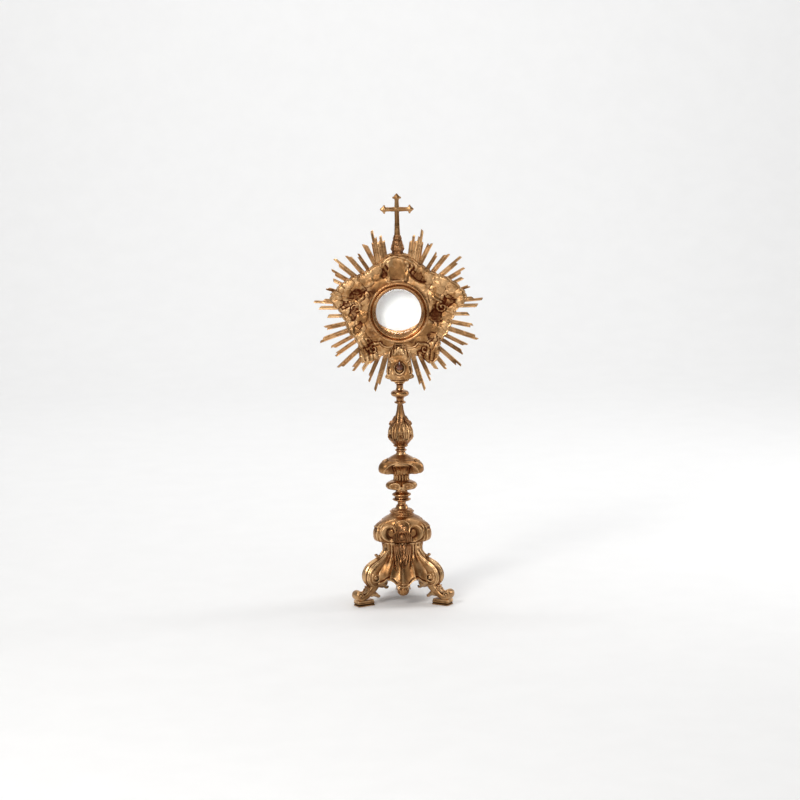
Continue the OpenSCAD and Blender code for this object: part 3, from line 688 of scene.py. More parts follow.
def bell_radius(a, z):
    """Radius of the bell at an angle and a height: lobed towards the legs, fluted below."""
    d = from_face(a)
    rf = np.interp(-z, -FACE_LINE[:, 1], FACE_LINE[:, 0])
    rl = np.interp(-z, -LEG_LINE[:, 1], LEG_LINE[:, 0])
    w = (1 - np.cos(np.radians(d * 3))) / 2
    r = rf + (rl - rf) * w
    flare = smooth(104, 46, z)
    sharp = 1 - np.abs(np.sin(np.radians(d * FLUTE)))
    r = r + (0.9 + 3.1 * flare) * (sharp ** 1.6 - 0.25) * smooth(60, 47, np.abs(d)) * smooth(100.5, 94, z)
    r = (r + 1.1 * np.cos(np.radians(d * 30)) * smooth(60, 86, z) * smooth(101, 95, z)
        * smooth(14, 22, np.abs(d)))
    return r


def hem(a):
    """Height of the bell's scalloped lower edge."""
    d = np.abs(from_face(a))
    z = np.interp(d, [0, 5, 9, 13, 18, 23, 28, 33, 39, 46, 60],
                  [30.5, 30.6, 31.6, 34.4, 39.2, 42.6, 43.4, 41.6, 37.0, 34.4, 34.4])
    return z + 0.9 * np.abs(np.sin(np.radians(d * FLUTE)))


def make_bell():
    a = circle(720)[:, None]
    s = np.linspace(0, 1, 150)[None, :]
    low = hem(a)
    z = BELL_TOP - (BELL_TOP - low) * s
    r = bell_radius(a, z)
    lip = bump(z - low, 1.6, 1.5) * 1.5 - 0.7 * bump(z - low, 4.6, 1.1)
    r = r + lip
    inner = np.minimum(r - BELL_WALL - 1.0 * smooth(60, 95, z), INSIDE_R)
    rr = np.concatenate([r, inner[:, ::-1]], 1)
    zz = np.concatenate([z, z[:, ::-1]], 1)
    g = np.stack([rr * np.cos(a), rr * np.sin(a), zz], -1)
    part = Part().torus(g)
    part.wobble(0.3, 10, 7)
    part.make("fluted_bell", "cast", "stand", ["base_bell"], reach=2.4, gain=0.8)


make_bell()

CAP_LINE = spline([
    (27, 101), (33, 101.5), (38.4, 103.8), (41.4, 108.4), (42.6, 114.5), (42.4, 120.5), (41.4, 125.4),
    (39.9, 129.4), (37.6, 133), (34.2, 136.4),
    (30, 139.6), (25.6, 142.1), (22, 143.7), (20.6, 144.5)], 220)
# The eaves' height, the ears' angle, height and radius, and the moulding over the ornament.
EAVE_Z = 129.6
EAR_AT, EAR_Z, EAR_R = 31, 118.5, 12.5
ARCH_Z, ARCH_WIDE, ARCH_TALL = 131, 21, 9


def cap_radius(a, z, r):
    """The cap's plain radius r with its three lobes, eaves and chasing added."""
    d = from_face(a)
    three = np.cos(np.radians(3 * (d - 60)))
    six = np.cos(np.radians(6 * (d - 60)))
    low = smooth(101, 107, z)
    top = smooth(143.5, 131.5, z)
    r = r * (1 + (0.12 + 0.035 * low) * top * three + (0.03 + 0.06 * low) * top * six)
    # a pointed eave over each leg
    corner = bump(np.abs(d), 60, 6.5)
    r = r + corner * (3.6 * bump(z, EAVE_Z, 1.3) - 1.2 * bump(z, 126.0, 1.4))
    # an ear-shaped hollow on each side of the ornament, under a rolled rim
    x, y = (np.abs(d) - EAR_AT) / EAR_R, (z - EAR_Z - 0.12 * (np.abs(d) - EAR_AT)) / EAR_R
    q = np.sqrt(x * x + y * y)
    body = smooth(101.5, 105, z) * smooth(135, 131, z)
    r = r - (4.4 * (1 - smooth(0.5, 0.98, q)) - 1.2 * bump(q, 1.1, 0.11)) * body
    r = r - 0.8 * bump(q, 1.42, 0.05) * body * smooth(60, 50, np.abs(d))
    for edge in (48, 53.5):
        r = r + 0.8 * bump(np.abs(d), edge, 1.4) * smooth(102, 105, z) * smooth(141, 132, z)
    # a low moulding over the ornament
    x, y = d / ARCH_WIDE, (z - ARCH_Z) / ARCH_TALL
    q = np.sqrt(x * x + np.clip(y, 0, None) ** 2)
    r = r + 0.9 * bump(q, 1.0, 0.07) * smooth(129, 132, z)
    return r


part = Part().tube(around_stem(CAP_LINE, 720, lambda a, r, z: (cap_radius(a, z, r), z)))
part.wobble(0.28, 10, 11)
part.make("lobed_cap", "cast", "stand", ["base_cap"], reach=2.2, gain=0.8)


def face_reach(z):
    """Radius of the cap's and the bell's surface at the middle of a face."""
    z = np.asarray(z, float)
    ang = np.full_like(z, PI / 6)
    cap = cap_radius(ang, z, np.interp(z, CAP_LINE[:, 1], CAP_LINE[:, 0]))
    return np.where(z > 101.5, cap, bell_radius(ang, z))


def on_face(points, angle):
    """Points as (across, height, height above the surface) laid on a face of the foot."""
    p = np.asarray(points, float)
    out, side = radial(angle)
    return (face_reach(p[:, 1]) + p[:, 2])[:, None] * out + p[:, :1] * side + p[:, 1:2] * UP


LEAF_ROOT = 120.4
shields, husks = Part(), Part()
for face in FACES:
    out, side = radial(face)
    # an oval boss in a ring: (half width, half height) and the height of its middle
    wide, tall, mid = 6.8, 8.0, 115
    t = np.linspace(0, 2 * PI, 61)[:-1]
    ring = np.stack([wide * np.cos(t), mid + tall * np.sin(t)], 1)
    d = np.stack([ring[:, 0] / wide, (ring[:, 1] - mid) / tall], 1)
    base = float(face_reach(114.0)) + 1.2
    rows = []
    for t in circle(20):
        p = ring + d * 1.5 * math.cos(t)
        rows.append((base + 1.7 * math.sin(t)) * out + p[:, :1] * side + p[:, 1:] * UP)
    shields.torus(np.array(rows))
    ball(shields, out * (base - 0.6) + UP * 114, 4.6, (1, 1, 1), 20)
    ball(shields, out * (base - 1.6) + UP * 114, 6.2, (1, 1, 1), 20)
    root = float(face_reach(LEAF_ROOT))
    for tilt, length, w in ((0, 14.5, 4.8), (30, 12, 3.8), (-30, 12, 3.8), (62, 9.5, 3.2), (-62, 9.5, 3.2)):
        t = math.radians(tilt)
        u2 = UP * math.cos(t) + side * math.sin(t)
        s2 = side * math.cos(t) - UP * math.sin(t)
        steps = length * np.array([0, 0.35, 0.7, 0.96, 1.1])
        lie = face_reach(LEAF_ROOT + steps * math.cos(t)) - root + np.array([0.6, 2.2, 2.6, 3.4, 1.4])
        leaf(shields, np.stack([lie, steps], 1), w, face, origin=out * root + UP * LEAF_ROOT,
            turn=(out, s2, u2),
             lobes=3, rib=0.7, rows=36, cols=17)
    for s in (-1, 1):
        for k, (w0, grow) in enumerate(((9.4, 0), (12.2, 1.0), (14.8, 2.2))):
            line = spline([(3.0 * s + k * s, 127 - k * 2.5, 0.5), ((w0 - 2) * s, 124.5 - k * 2, 1.2),
                (w0 * s, 117, 1.6), ((w0 - 0.4) * s, 110, 1.6),
                           ((w0 - 2.6) * s, 104.5, 0.4)], 50)
            p = on_face(line, face)
            w = np.linspace(1.0, 1.7 - 0.2 * k, 50)
            shields.tube(sweep(p, w, w * 0.9, out, n=16, power=1.0))
        for k, (x0, x1, zend) in enumerate(((7.6, 2.0, 70), (10.4, 5.6, 64), (13.0, 10.6, 60),
                (3.2, 0.4, 72))):
            line = spline([((x0 - 0.5) * s, 101.5, 6.5 - k), (x0 * s, 97, 2.4), ((x0 - 0.6) * s, 88, 0.8),
                ((x0 + x1) / 2 * s, 79, 0.6),
                           (x1 * s, zend + 4, 0.7), ((x1 - 0.2) * s, zend, 0.1)], 70)
            p = on_face(line, face)
            t = np.linspace(0, 1, 70)
            w = 1.5 * smooth(0, 0.1, t) * smooth(1.05, 0.5, t) + 0.3
            husks.tube(sweep(p, w * 1.25, w, out, n=16, power=1.0))
    for k, z in enumerate((96, 88.5, 82, 76.4)):
        size = 4.6 - 0.75 * k
        leaf(husks, [(0.4, 0), (2.0, -size * 0.8), (2.6, -size * 1.5), (1.0, -size * 2.1)], size, face,
             origin=out * (float(face_reach(float(z))) - 0.1) + UP * (z + size * 0.6),
             turn=(out, side, UP), lobes=2, rib=0.8, rows=26, cols=15)
shields.wobble(0.15, 5, 2)
shields.make("shield_ornaments", "red", "stand", ["cap_cartouches"], reach=1.0, shade=0.2)
husks.wobble(0.15, 5, 4)
husks.make("drapery_falls", "red", "stand", ["husk_drops"], reach=1.0, shade=0.08)



def drop_mod(a, r, z):
    """Gadroons on the drop's collar, and faint lobes on its body."""
    body = smooth(30, 27, z) * smooth(16, 20, z)
    return r * (1 + 0.05 * np.cos(8 * a) * smooth(34.6, 37, z) + 0.018 * np.cos(12 * a) * body), z


drops = Part()
PENDANT_R = (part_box("apron_pendants")[1].x * 1000 - 12.5) / math.cos(math.radians(30))
for face in FACES:
    out, _ = radial(face)
    prof = outline((0.15, 15.7), (3.6, 16.6, 0.2), (9.6, 24.2, 1.6), (7.6, 31.6, 1.2), (7.0, 32.4),
        (8.4, 33), (8.4, 33.8, 0.3), (7.6, 34.4),
                   (10.4, 35.0), (12.3, 36.8, 0.5), (12.3, 38.2, 0.4), (10.6, 39.2), (9, 41), (4, 44))
    drops.tube(around_stem(prof, 96, drop_mod) + out * PENDANT_R)
    for k in range(6):
        leaf(drops, [(8.0, 34), (10.2, 30.6), (10.8, 27.8), (12.0, 26.2)], 3.2, face + 60 * k + 30,
            origin=out * PENDANT_R, lobes=2, rows=22, cols=11, thick=0.7)
drops.wobble(0.12, 6, 5)
drops.make("apron_drops", "cast", "stand", ["apron_pendants"], reach=1.2)

# ---------------------------------------------------------------- stem


def turned(name, node, prof):
    """A turned piece whose profile is fitted to the CAD node's height."""
    low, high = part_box(node)
    z0, z1 = prof[:, 1].min(), prof[:, 1].max()
    prof = prof.copy()
    prof[:, 1] = low.z * 1000 + (prof[:, 1] - z0) * (high.z - low.z) * 1000 / (z1 - z0)
    part = Part().tube(around_stem(prof, 192))
    part.wobble(0.07, 7, 3)
    part.make(name, "turned", "stand", [node], reach=1.2)


turned("collar", "base_collar", outline(
    (1, 144.5), (20.8, 144.5), (20.6, 145.6, 0.2), (18.6, 146.4), (18.2, 148.0, -0.3), (19.0, 148.6),
    (19.9, 149.6, 0.25), (19.9, 150.8, 0.3),
    (18.4, 151.6), (17.0, 152.0), (17.0, 153.4, 0.35), (15.6, 154.0), (14.8, 154.2), (10.2, 157.0, -0.9),
    (9.2, 159), (1, 159)))
turned("neck", "stem_neck", outline((1, 159), (9.4, 159), (9.4, 160, 0.3), (8.0, 160.8), (6.8, 165, -0.5),
    (7.2, 167.2), (8, 168), (1, 168)))
turned("double_ring", "stem_rings", outline(
    (1, 168), (10.6, 168), (14.8, 169.4, 0.6), (14.8, 171.2, 0.5), (11.8, 172.4), (11.4, 175.0, -0.3),
    (12.2, 175.8), (15.0, 177.2, 0.4), (15.0, 179.8, 0.7),
    (11.6, 181.4), (10.2, 182.6), (9.8, 185, -0.3), (10.8, 186), (11.2, 187), (1, 187)))


def lobes3(a, k3, k6=0.0):
    """A factor that swells a ring towards the three legs."""
    return 1 + k3 * np.cos(3 * (a - PI / 2)) + k6 * np.cos(6 * (a - PI / 2))


KNOP_CUP = spline([(11.8, 187), (16.2, 187.3), (20.4, 189.2), (22.9, 192.4), (23.4, 196), (22.2, 199.2),
    (19.0, 201.4), (15.6, 202.2), (13.6, 203.4), (12.9, 206.5),
                   (13.0, 210), (14.2, 213), (15.2, 214)], 150)


# The lobes' angle from a face's middle, height, half width in degrees and half height.
LOBE_AT, LOBE_Z, LOBE_WIDE, LOBE_TALL = 27, 194.6, 20, 5.6


def cup_mod(a, r, z):
    """Rolled lobes on the knop's cup, and a slotted neck above them."""
    d = from_face(a)
    bulb = smooth(187, 189.5, z) * smooth(202.4, 200.4, z)
    neck = smooth(202, 203.6, z)
    r = r * lobes3(a, 0.05 + 0.09 * bulb, 0.045 * bulb)
    # each lobe is rolled, and a cusp divides the face
    x, y = (np.abs(d) - LOBE_AT) / LOBE_WIDE, (z - LOBE_Z) / LOBE_TALL
    q = np.sqrt(x * x + y * y)
    r = r + bulb * (1.0 * bump(q, 1.0, 0.16) - 1.7 * (1 - smooth(0.3, 0.85, q)))
    r = r - bulb * 2.2 * bump(d, 0, 4.5) * smooth(187, 190, z)
    slots = np.abs(np.sin(np.radians(d * 7.5 + 90))) ** 4
    r = r - neck * 1.9 * slots * smooth(214, 211, z) * smooth(202.6, 204.6, z)
    return r, z


part = Part().tube(around_stem(KNOP_CUP, 540, cup_mod))
for face in FACES:
    out, side = radial(face)
    for s in (-1, 1):
        line = spline([(0.2 * s, 193.4), (2.2 * s, 191.4), (4.2 * s, 189.0), (6.4 * s, 187.6)], 30)
        p3 = 20.2 * out + line[:, :1] * side + line[:, 1:] * UP
        part.tube(sweep(p3, np.linspace(1.2, 0.9, 30), np.linspace(1.4, 0.9, 30), out, n=16))
    ball(part, 19.2 * out + 188.6 * UP, 1.7, (1, 1, 1), 14)
part.wobble(0.2, 8, 21)
part.make("lower_knop", "cast", "stand", ["knop_cup"], reach=1.6, gain=0.9)

CROWN_OUT = spline([(15.4, 214), (20, 214.6), (27, 215.4), (31.8, 217.2), (34.2, 221), (34.6, 225.6),
    (33.6, 230.2), (31.0, 234), (27.4, 236.6), (23.4, 238.4),
                    (19.6, 240.4), (15.2, 243), (11.2, 244.9), (9.8, 246)], 260)
CROWN_IN = spline([(15.2, 214), (15.4, 217), (17.0, 221), (20.4, 225), (24.4, 228.4), (26.6, 231),
    (26.2, 234), (22.6, 237.6), (19.6, 240.4), (9.8, 246)], 120)


def crown_mod(a, r, z):
    """The knop's crown: three lobes, with an arched niche on each face."""
    d = np.abs(from_face(a))
    body = smooth(214.2, 218, z) * smooth(239.5, 234.5, z)
    out = r * lobes3(a, 0.04 + 0.1 * body, 0.02 + 0.03 * body)
    niche = np.interp(z, CROWN_IN[:, 1], CROWN_IN[:, 0]) * lobes3(a, 0.03)
    # the face is a dark niche under a moulded arch
    top = np.interp(d, [0, 22, 30, 37, 43, 47, 50], [233.4, 233.0, 231.6, 228.6, 223.4, 218.4, 213.0])
    gap = top - z
    outside = smooth(1.1, -0.3, gap)
    r = niche + (np.maximum(out, niche) - niche) * outside
    r = r + 1.1 * bump(gap, -1.3, 0.9) + 0.7 * bump(gap, -4.0, 0.6) * body
    # the drapery's ruffled edge, and the pleats under it
    ruffle = top - 3.4 - 1.4 * np.abs(np.cos(np.radians(d * 9)))
    inside = smooth(0.5, 2.0, gap)
    r = r + inside * (1.5 * smooth(ruffle - 0.5, ruffle + 0.3, z) - 0.5)
    r = r + inside * 0.9 * np.cos(np.radians(d * 15)) * smooth(230, 224, z)
    r = r + 0.7 * bump(z, 237.4, 0.6) - 0.5 * bump(z, 238.8, 0.6)
    return r, z


part = Part().tube(around_stem(CROWN_OUT, 720, crown_mod))
for angle in LEGS.values():
    leaf(part, [(25.5, 238.6), (29.0, 236.8), (33.2, 233.4), (36.0, 229.2), (37.8, 226)], 4.6, angle,
        lobes=4, rib=0.8, cup=0.25, rows=40, cols=17)
    leaf(part, [(24.2, 236.0), (26.4, 238.4), (27.6, 241.2)], 1.7, angle, thick=1.4, lobes=1, rib=0.4,
        cup=0.3, rows=20, cols=9)
part.wobble(0.2, 8, 23)
part.make("knop_crown_lobed", "cast", "stand", ["knop_crown"], reach=1.8, gain=0.9)

turned("spool", "upper_spool", outline(
    (1, 246), (8.6, 246), (8.2, 247.4), (7.2, 250.4, -0.3), (7.4, 251.4), (9.4, 252.2, 0.3),
    (9.4, 253.6, 0.35), (7.4, 254.6), (7.1, 257.6, -0.2),
    (10.0, 258.6), (11.8, 259.8, 0.35), (11.8, 261.2, 0.35), (10.2, 262), (1, 262)))

BALUSTER = spline([(10.2, 262), (11.2, 263.6), (14, 267.6), (17.4, 271.6), (19.6, 276), (20.4, 281),
    (19.9, 286.2), (17.8, 291.4), (14.6, 296.4), (11.6, 300.6),
                   (9.2, 305), (7.4, 310), (5.9, 316), (4.9, 322), (4.4, 328), (4.8, 330)], 190)


def baluster_mod(a, r, z):
    """Six ribbed panels on the bulb, and a fluted neck."""
    body = smooth(264, 270, z) * smooth(303, 295, z)
    neck = smooth(299, 308, z) * smooth(329.6, 325, z)
    d = ((np.degrees(a) + 90 + 30) % 60) - 30
    # ribs run from the spindle down over the bulb, with hollows between them
    at = np.interp(z, [262, 276, 290, 304, 330], [15, 17, 16.5, 13, 10])
    rib = bump(np.abs(d), at, 2.6)
    r = r + body * (0.9 * rib - 0.7 * bump(np.abs(d) - at, 7, 3.4) - 0.5 * bump(np.abs(d) - at, -6.5, 3.0))
    r = r * (1 - neck * 0.13 * np.cos(np.radians(6 * d)))
    return r, z


part = Part().tube(around_stem(BALUSTER, 600, baluster_mod))
ROSETTE_R, ROSETTE_Z, PETALS = 19.9, 284.5, 5
for k in range(6):
    out, side = radial(30 + 60 * k)
    at = out * ROSETTE_R + UP * ROSETTE_Z
    ball(part, at + out * 0.3, 1.3, (1, 1, 1), 14)
    for j in range(PETALS):
        t = 2 * PI * j / PETALS + PI / 2
        ball(part, at - out * 0.1 + side * 2.5 * math.cos(t) + UP * 2.5 * math.sin(t), 1.35, (1, 1, 1), 12)
    leaf(part, [(20.0, 279.6), (20.6, 277.2), (19.6, 273.4), (18.2, 271.2)], 3.0, 30 + 60 * k, lobes=1,
        rib=0.3, cup=0.4, thick=0.7, rows=20, cols=11)
part.wobble(0.14, 7, 25)
part.make("pear_baluster", "cast", "stand", ["baluster"], reach=1.4)

upper, lower = Part(), Part()
for angle in LEGS.values():
    leaf(upper, [(7.8, 310), (9.6, 304.6), (12.4, 300.8), (15.4, 299.6), (17.6, 298.4), (18.3, 296.4),
        (17.2, 295.2)], 4.8, angle, lobes=3, rib=0.8, cup=0.3, rows=50, cols=19)
    leaf(upper, [(8.0, 309), (9.8, 303), (12.4, 298.6), (15.0, 294.6)], 4.2, angle + 60, lobes=3, rib=0.6,
        cup=0.35, rows=40, cols=17)
for k in range(6):
    leaf(lower, [(10.9, 262.4), (13.0, 264.6), (16.0, 267.6), (18.2, 269.8), (19.8, 270.6)], 4.6, 60 * k,
        lobes=2, rib=0.8, cup=0.25, rows=40, cols=19)
    leaf(lower, [(10.9, 262.6), (14.0, 266.0), (16.6, 269.6), (17.8, 272.2)], 3.6, 60 * k + 30, lobes=3,
        rib=0.6, cup=0.35, rows=36, cols=17)
upper.make("upper_leaves", "red", "stand", ["upper_calyx"], reach=1.0)
lower.make("lower_leaves", "red", "stand", ["lower_calyx"], reach=1.0)

turned("disc_knob", "stem_disc", outline(
    (1, 330), (6.2, 330), (9.0, 331.4), (9.4, 332.4, 0.25), (9.0, 333.6, 0.2), (6.6, 334.6),
    (5.9, 336.4, -0.15), (6.4, 338.8), (8.2, 341.0, -0.2),
    (12.6, 343.2), (14.8, 346, 0.5), (14.6, 348.6, 0.4), (11.8, 351.6, 0.5), (9.0, 352.6), (6.8, 353.2),
    (6.6, 354), (1, 354)))
turned("socket", "socket_neck", outline((1, 354), (6.6, 354), (5.7, 357, -0.2), (5.6, 361.6), (6.4, 363),
    (8.0, 364, 0.2), (8.0, 365.4, 0.25), (7.4, 366), (1, 366)))

# ---------------------------------------------------------------- sunburst

BURST_Y = [corner[1] for corner in in_mm(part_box("rays_upper_right"))]
PLATE_Y = in_mm(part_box("cloud_plate"))[0][1]
RAY_FOOT = 66
HOLE_R = 44.0
# Depth of the plate's ground behind the CAD plate's front, the sheet's thickness, and the depth of its back.
RELIEF_BASE, SHEET, SHEET_BACK = 2.1, 1.3, 2.95

# Rays of the right side, as (angle of the tip from straight up, reach, lean, bars),
# with each bar as (offset, width, shortening).
RAYS = {
    "upper": [
        (11.6, 128, -3.4, ((-1.8, 3.8, 9), (1.7, 3.7, 0))), (15.0, 120, -6.0, ((0, 4.4, 0),)),
        (16.9, 140, -7.6, ((-2.6, 3.6, 12), (0.7, 3.7, 0), (3.5, 2.6, 20))),
        (26, 125, 1.5, ((-1.8, 3.4, 3), (1.8, 3.4, 0))),
        (34.4, 116, -1.5, ((-1.5, 2.8, 0), (1.5, 2.8, 5))),
        (41.2, 126, -1.5, ((-1.9, 3.5, 5), (1.9, 3.3, 0))),
        (50.3, 136.5, 0, ((-2.0, 3.7, 0), (1.9, 3.4, 12))),
        (58.1, 129.6, 1.5, ((-1.8, 3.3, 0), (1.7, 3.1, 9))), (63.3, 119.6, 0, ((0, 4.6, 0),)),
        (71.1, 124.5, 0, ((-1.1, 2.6, 3), (1.4, 2.2, 0)))],
    "side": [
        (81.7, 140, 3.5, ((-2.0, 3.5, 15), (1.6, 3.6, 0))), (86.5, 131, 2.5, ((0, 5.0, 0),)),
        (93, 117, -2, ((0, 4.8, 0),)),
        (101.9, 125, -0.5, ((-1.7, 3.2, 0), (1.7, 3.2, 4))),
        (109.6, 139, -0.5, ((-1.9, 3.6, 6), (1.9, 3.4, 0))),
        (117.7, 126.5, 0, ((-1.5, 2.9, 0), (1.5, 2.8, 5)))],
    "lower": [
        (123.9, 127.4, 0, ((-1.5, 2.8, 4), (1.5, 2.8, 0))),
        (132.7, 137, -0.5, ((-1.7, 3.2, 0), (1.7, 3.2, 7))), (141, 124, 0, ((-1.7, 3.2, 5), (1.7, 3.2, 0))),
        (147.8, 115.6, 0, ((0, 4.8, 0),)), (155.6, 126.7, 0.5, ((-1.6, 3.0, 9), (1.6, 3.0, 0))),
        (163.3, 138, 0, ((-2.0, 3.6, 0), (1.9, 3.6, 12)))],
}


def polar(angle, r):
    """(x, z) at a distance and an angle from straight up."""
    a = math.radians(angle)
    return np.array([r * math.sin(a), r * math.cos(a)])


def ray_bar(part, foot, aim, length, offset, width, seed, flip):
    """One bevelled bar with a slanted end, cut from thick sheet and filed by hand."""
    t = np.linspace(0, 1, 64)
    rng = np.random.RandomState(seed)
    slant = rng.uniform(0.45, 1.0) * width * (1 if rng.rand() < 0.6 else -1)
    half = width / 2
    across = np.array([-half, -half, -half + 0.32, -half + 0.75, -0.28, 0, 0.28, half - 0.75, half - 0.32,
        half, half, 0])
    height = (np.array([0, 1.7, 2.45, 2.9, 2.75, 2.3, 2.75, 2.9, 2.45, 1.7, 0, 0])
        * (BURST_Y[1] - BURST_Y[0]) / 3.0)
    end = length + slant * across / width - abs(slant) / 2
    lift = 0.18 * np.sin(t * PI * rng.uniform(1.5, 3) + rng.uniform(0, 6))
    bend = 0.22 * np.sin(t * PI * rng.uniform(0.8, 1.8) + rng.uniform(0, 6)) * t
    along = t[:, None] * end[None, :]
    close = 1 - 0.16 * smooth(0.965, 1.0, t)
    u = across[None, :] * close[:, None] * 1.24 + bend[:, None] + offset * 1.04
    h = height[None, :] * (1 - 0.25 * smooth(0.97, 1.0, t))[:, None]
    side = np.array([aim[1], -aim[0]])
    x = foot[0] + aim[0] * along + side[0] * u
    z = foot[1] + aim[1] * along + side[1] * u
    y = BURST_Y[1] - h + lift[:, None] * (height[None, :] > 0.1)
    y = np.clip(y, BURST_Y[0] + 0.02, BURST_Y[1])
    x = np.clip(x * flip, CAD_BOX[0][0] * 1000, CAD_BOX[1][0] * 1000)
    part.tube(np.stack([x, y, z + WINDOW_Z], -1))


for flip, hand in ((1, "right"), (-1, "left")):
    for group, rays in RAYS.items():
        part = Part()
        for i, (angle, reach, lean, bars) in enumerate(rays):
            tip = polar(angle, reach)
            aim = polar(angle + lean, 1)
            length = reach - RAY_FOOT
            foot = tip - aim * length
            for j, (offset, width, short) in enumerate(bars):
                seed = 31 * i + 7 * j + (500 if flip > 0 else 0) + len(group)
                ray_bar(part, foot, aim, length - short, offset, width, seed, flip)
        part.make("sunrays_%s_%s" % (group, hand), "sheet", "stand", ["rays_%s_%s" % (group, hand)],
                  reach=0.9, sharp=26, gain=0.8)

# ---------------------------------------------------------------- cloud plate

# Left half of the plate's outline about the window's centre, from the top down.
CLOUD_EDGE = [
    (0, 100.5), (-10, 98), (-19, 92.5), (-27, 85.5), (-38, 78.5), (-53, 68), (-62, 63), (-76, 59),
    (-87, 54), (-97, 45), (-105.5, 36.5), (-112, 30),
    (-113, 22), (-109, 13), (-99, 4), (-92.5, -8), (-88, -18), (-84.5, -30), (-77, -41.5), (-69.5, -50),
    (-67, -61), (-66, -74), (-61, -85), (-49, -87),
    (-38, -79), (-28, -74), (-16, -71), (0, -70)]


def cloud_radius(a, sideways):
    """Reach of the plate's edge at an angle from straight up, for one side."""
    pts = np.array(CLOUD_EDGE, float)
    ang = np.degrees(np.arctan2(-pts[:, 0], pts[:, 1]))
    ang[0], ang[-1] = 0, 180
    rad = np.hypot(pts[:, 0], pts[:, 1])
    base = np.interp(a, ang, rad)
    step = np.concatenate([[0], np.cumsum(np.hypot(*np.diff(pts, axis=0).T))])
    s = np.interp(a, ang, step)
    s = s + 3.0 * np.sin(s / 13 + sideways) + 1.6 * np.sin(s / 5.3 + 2 * sideways)
    puff = 1 - np.abs(np.sin(PI * s / 13.5 + 0.4 * sideways)) ** 0.7
    nick = 1 - np.abs(np.sin(PI * s / 6.1 + sideways)) ** 0.8
    return base - 2.6 * puff - 0.8 * nick


def distance_to(points, line):
    """Distance of each point to a polyline, and how far along it the nearest place is."""
    best = np.full(len(points), 1e9)
    where = np.zeros(len(points))
    seg = np.concatenate([[0], np.cumsum(np.linalg.norm(np.diff(line, axis=0), axis=1))])
    for i in range(len(line) - 1):
        a, d = line[i], line[i + 1] - line[i]
        t = np.clip(((points - a) @ d) / max(d @ d, 1e-9), 0, 1)
        gap = np.linalg.norm(points - a - t[:, None] * d, axis=1)
        near = gap < best
        best[near] = gap[near]
        where[near] = (seg[i] + t * (seg[i + 1] - seg[i]))[near] / seg[-1]
    return best, where


def spiral(cx, cz, r, start, turns, n, sense):
    """Points (x, z) of a scroll that winds in towards its centre."""
    t = np.linspace(0, 1, n)
    a = math.radians(start) + sense * turns * 2 * PI * t
    rad = r * (1 - 0.85 * t)
    return np.stack([cx + rad * np.cos(a), cz + rad * np.sin(a)], 1)


# Scrolls chased on the plate's left side, as (points, half width, height); the right side mirrors them.
SCROLLS = [
    (spline([(-12, 53), (-14, 61), (-19, 69), (-23, 76), (-20, 84), (-11, 89), (0, 91)], 50), 3.6, 1.1),
    (np.vstack([spline([(-58, 24), (-64, 20), (-69, 16.5)], 16), spiral(-71, 8, 9.5, 70, 1.2, 50, -1)]),
        3.0, 1.0),
    (np.vstack([spline([(-30, -51), (-36, -52), (-41, -52)], 16),
        spiral(-42, -60.5, 8.0, 90, 1.15, 50, 1)]), 2.8, 1.1),
    (spline([(-6, -54.5), (-12, -57.5), (-20, -58), (-27, -55), (-31, -50)], 30), 2.4, 0.8),
]

# Dips in the relief, which the plate also darkens as painted shade: (x, z, half length, half width, tilt in
# degrees).
SHADED_DIPS = [
    (33, 57, 16, 8, -28), (22, 69, 6, 12, 12), (-21, 69, 6, 14, -12), (-68, 30, 24, 8, 26),
    (-86, 12, 12, 8, 40), (-74, 0, 9, 14, 0), (82, 18, 13, 12, 30),
    (62, -8, 12, 17, 12), (58, -44, 15, 9, -50), (-50, -58, 16, 11, 35), (45, -70, 17, 13, -10),
    (-66, -26, 7, 14, -14)]


def cloud_banks():
    """Puffs of cloud as (x, z, radius, height): a bank along the plate's edge, and broken ones inside it."""
    rng = np.random.RandomState(4)
    puffs = []
    for s, way in ((-1, 0.0), (1, 0.9)):
        a = 15.0
        while a < 150:
            big = float(cloud_radius(a, way))
            r = rng.uniform(9.0, 15.0)
            deep = big - r * rng.uniform(0.5, 0.72)
            puffs.append((s * deep * math.sin(math.radians(a)), deep * math.cos(math.radians(a)), r,
                rng.uniform(1.7, 2.5)))
            a += math.degrees(rng.uniform(0.9, 1.35) * r / big)
        inner = [(36, 64, 11, 1.5), (50, 54, 13, 1.9), (68, 40, 13, 1.9), (84, 30, 11, 1.7),
            (60, 26, 11, 1.2),
                 (62, -8, 11, 1.5), (66, -26, 12, 1.7), (58, -42, 10, 1.5), (84, 8, 9, 1.5)]
        for x, z, r, tall in inner:
            puffs.append((s * (x + rng.uniform(-2.5, 2.5)), z + rng.uniform(-2.5, 2.5),
                r * rng.uniform(0.9, 1.1), tall))
    return puffs


PUFFS = cloud_banks()


def shaded_dips(x, z):
    """From 0 to 1 in the dips, with a ragged rim; the plate is carved and painted with shade there."""
    p3 = np.stack([x, z, 0 * x], 1)
    rag = 0.34 * noise(p3, 7, 31) + 0.16 * noise(p3, 3.4, 32)
    total = np.zeros(len(x))
    for cx, cz, length, width, tilt in SHADED_DIPS:
        c, n = math.cos(math.radians(tilt)), math.sin(math.radians(tilt))
        q = np.hypot(((x - cx) * c + (z - cz) * n) / length, (-(x - cx) * n + (z - cz) * c) / width) + rag
        total = np.maximum(total, smooth(1.15, 0.6, q))
    return total


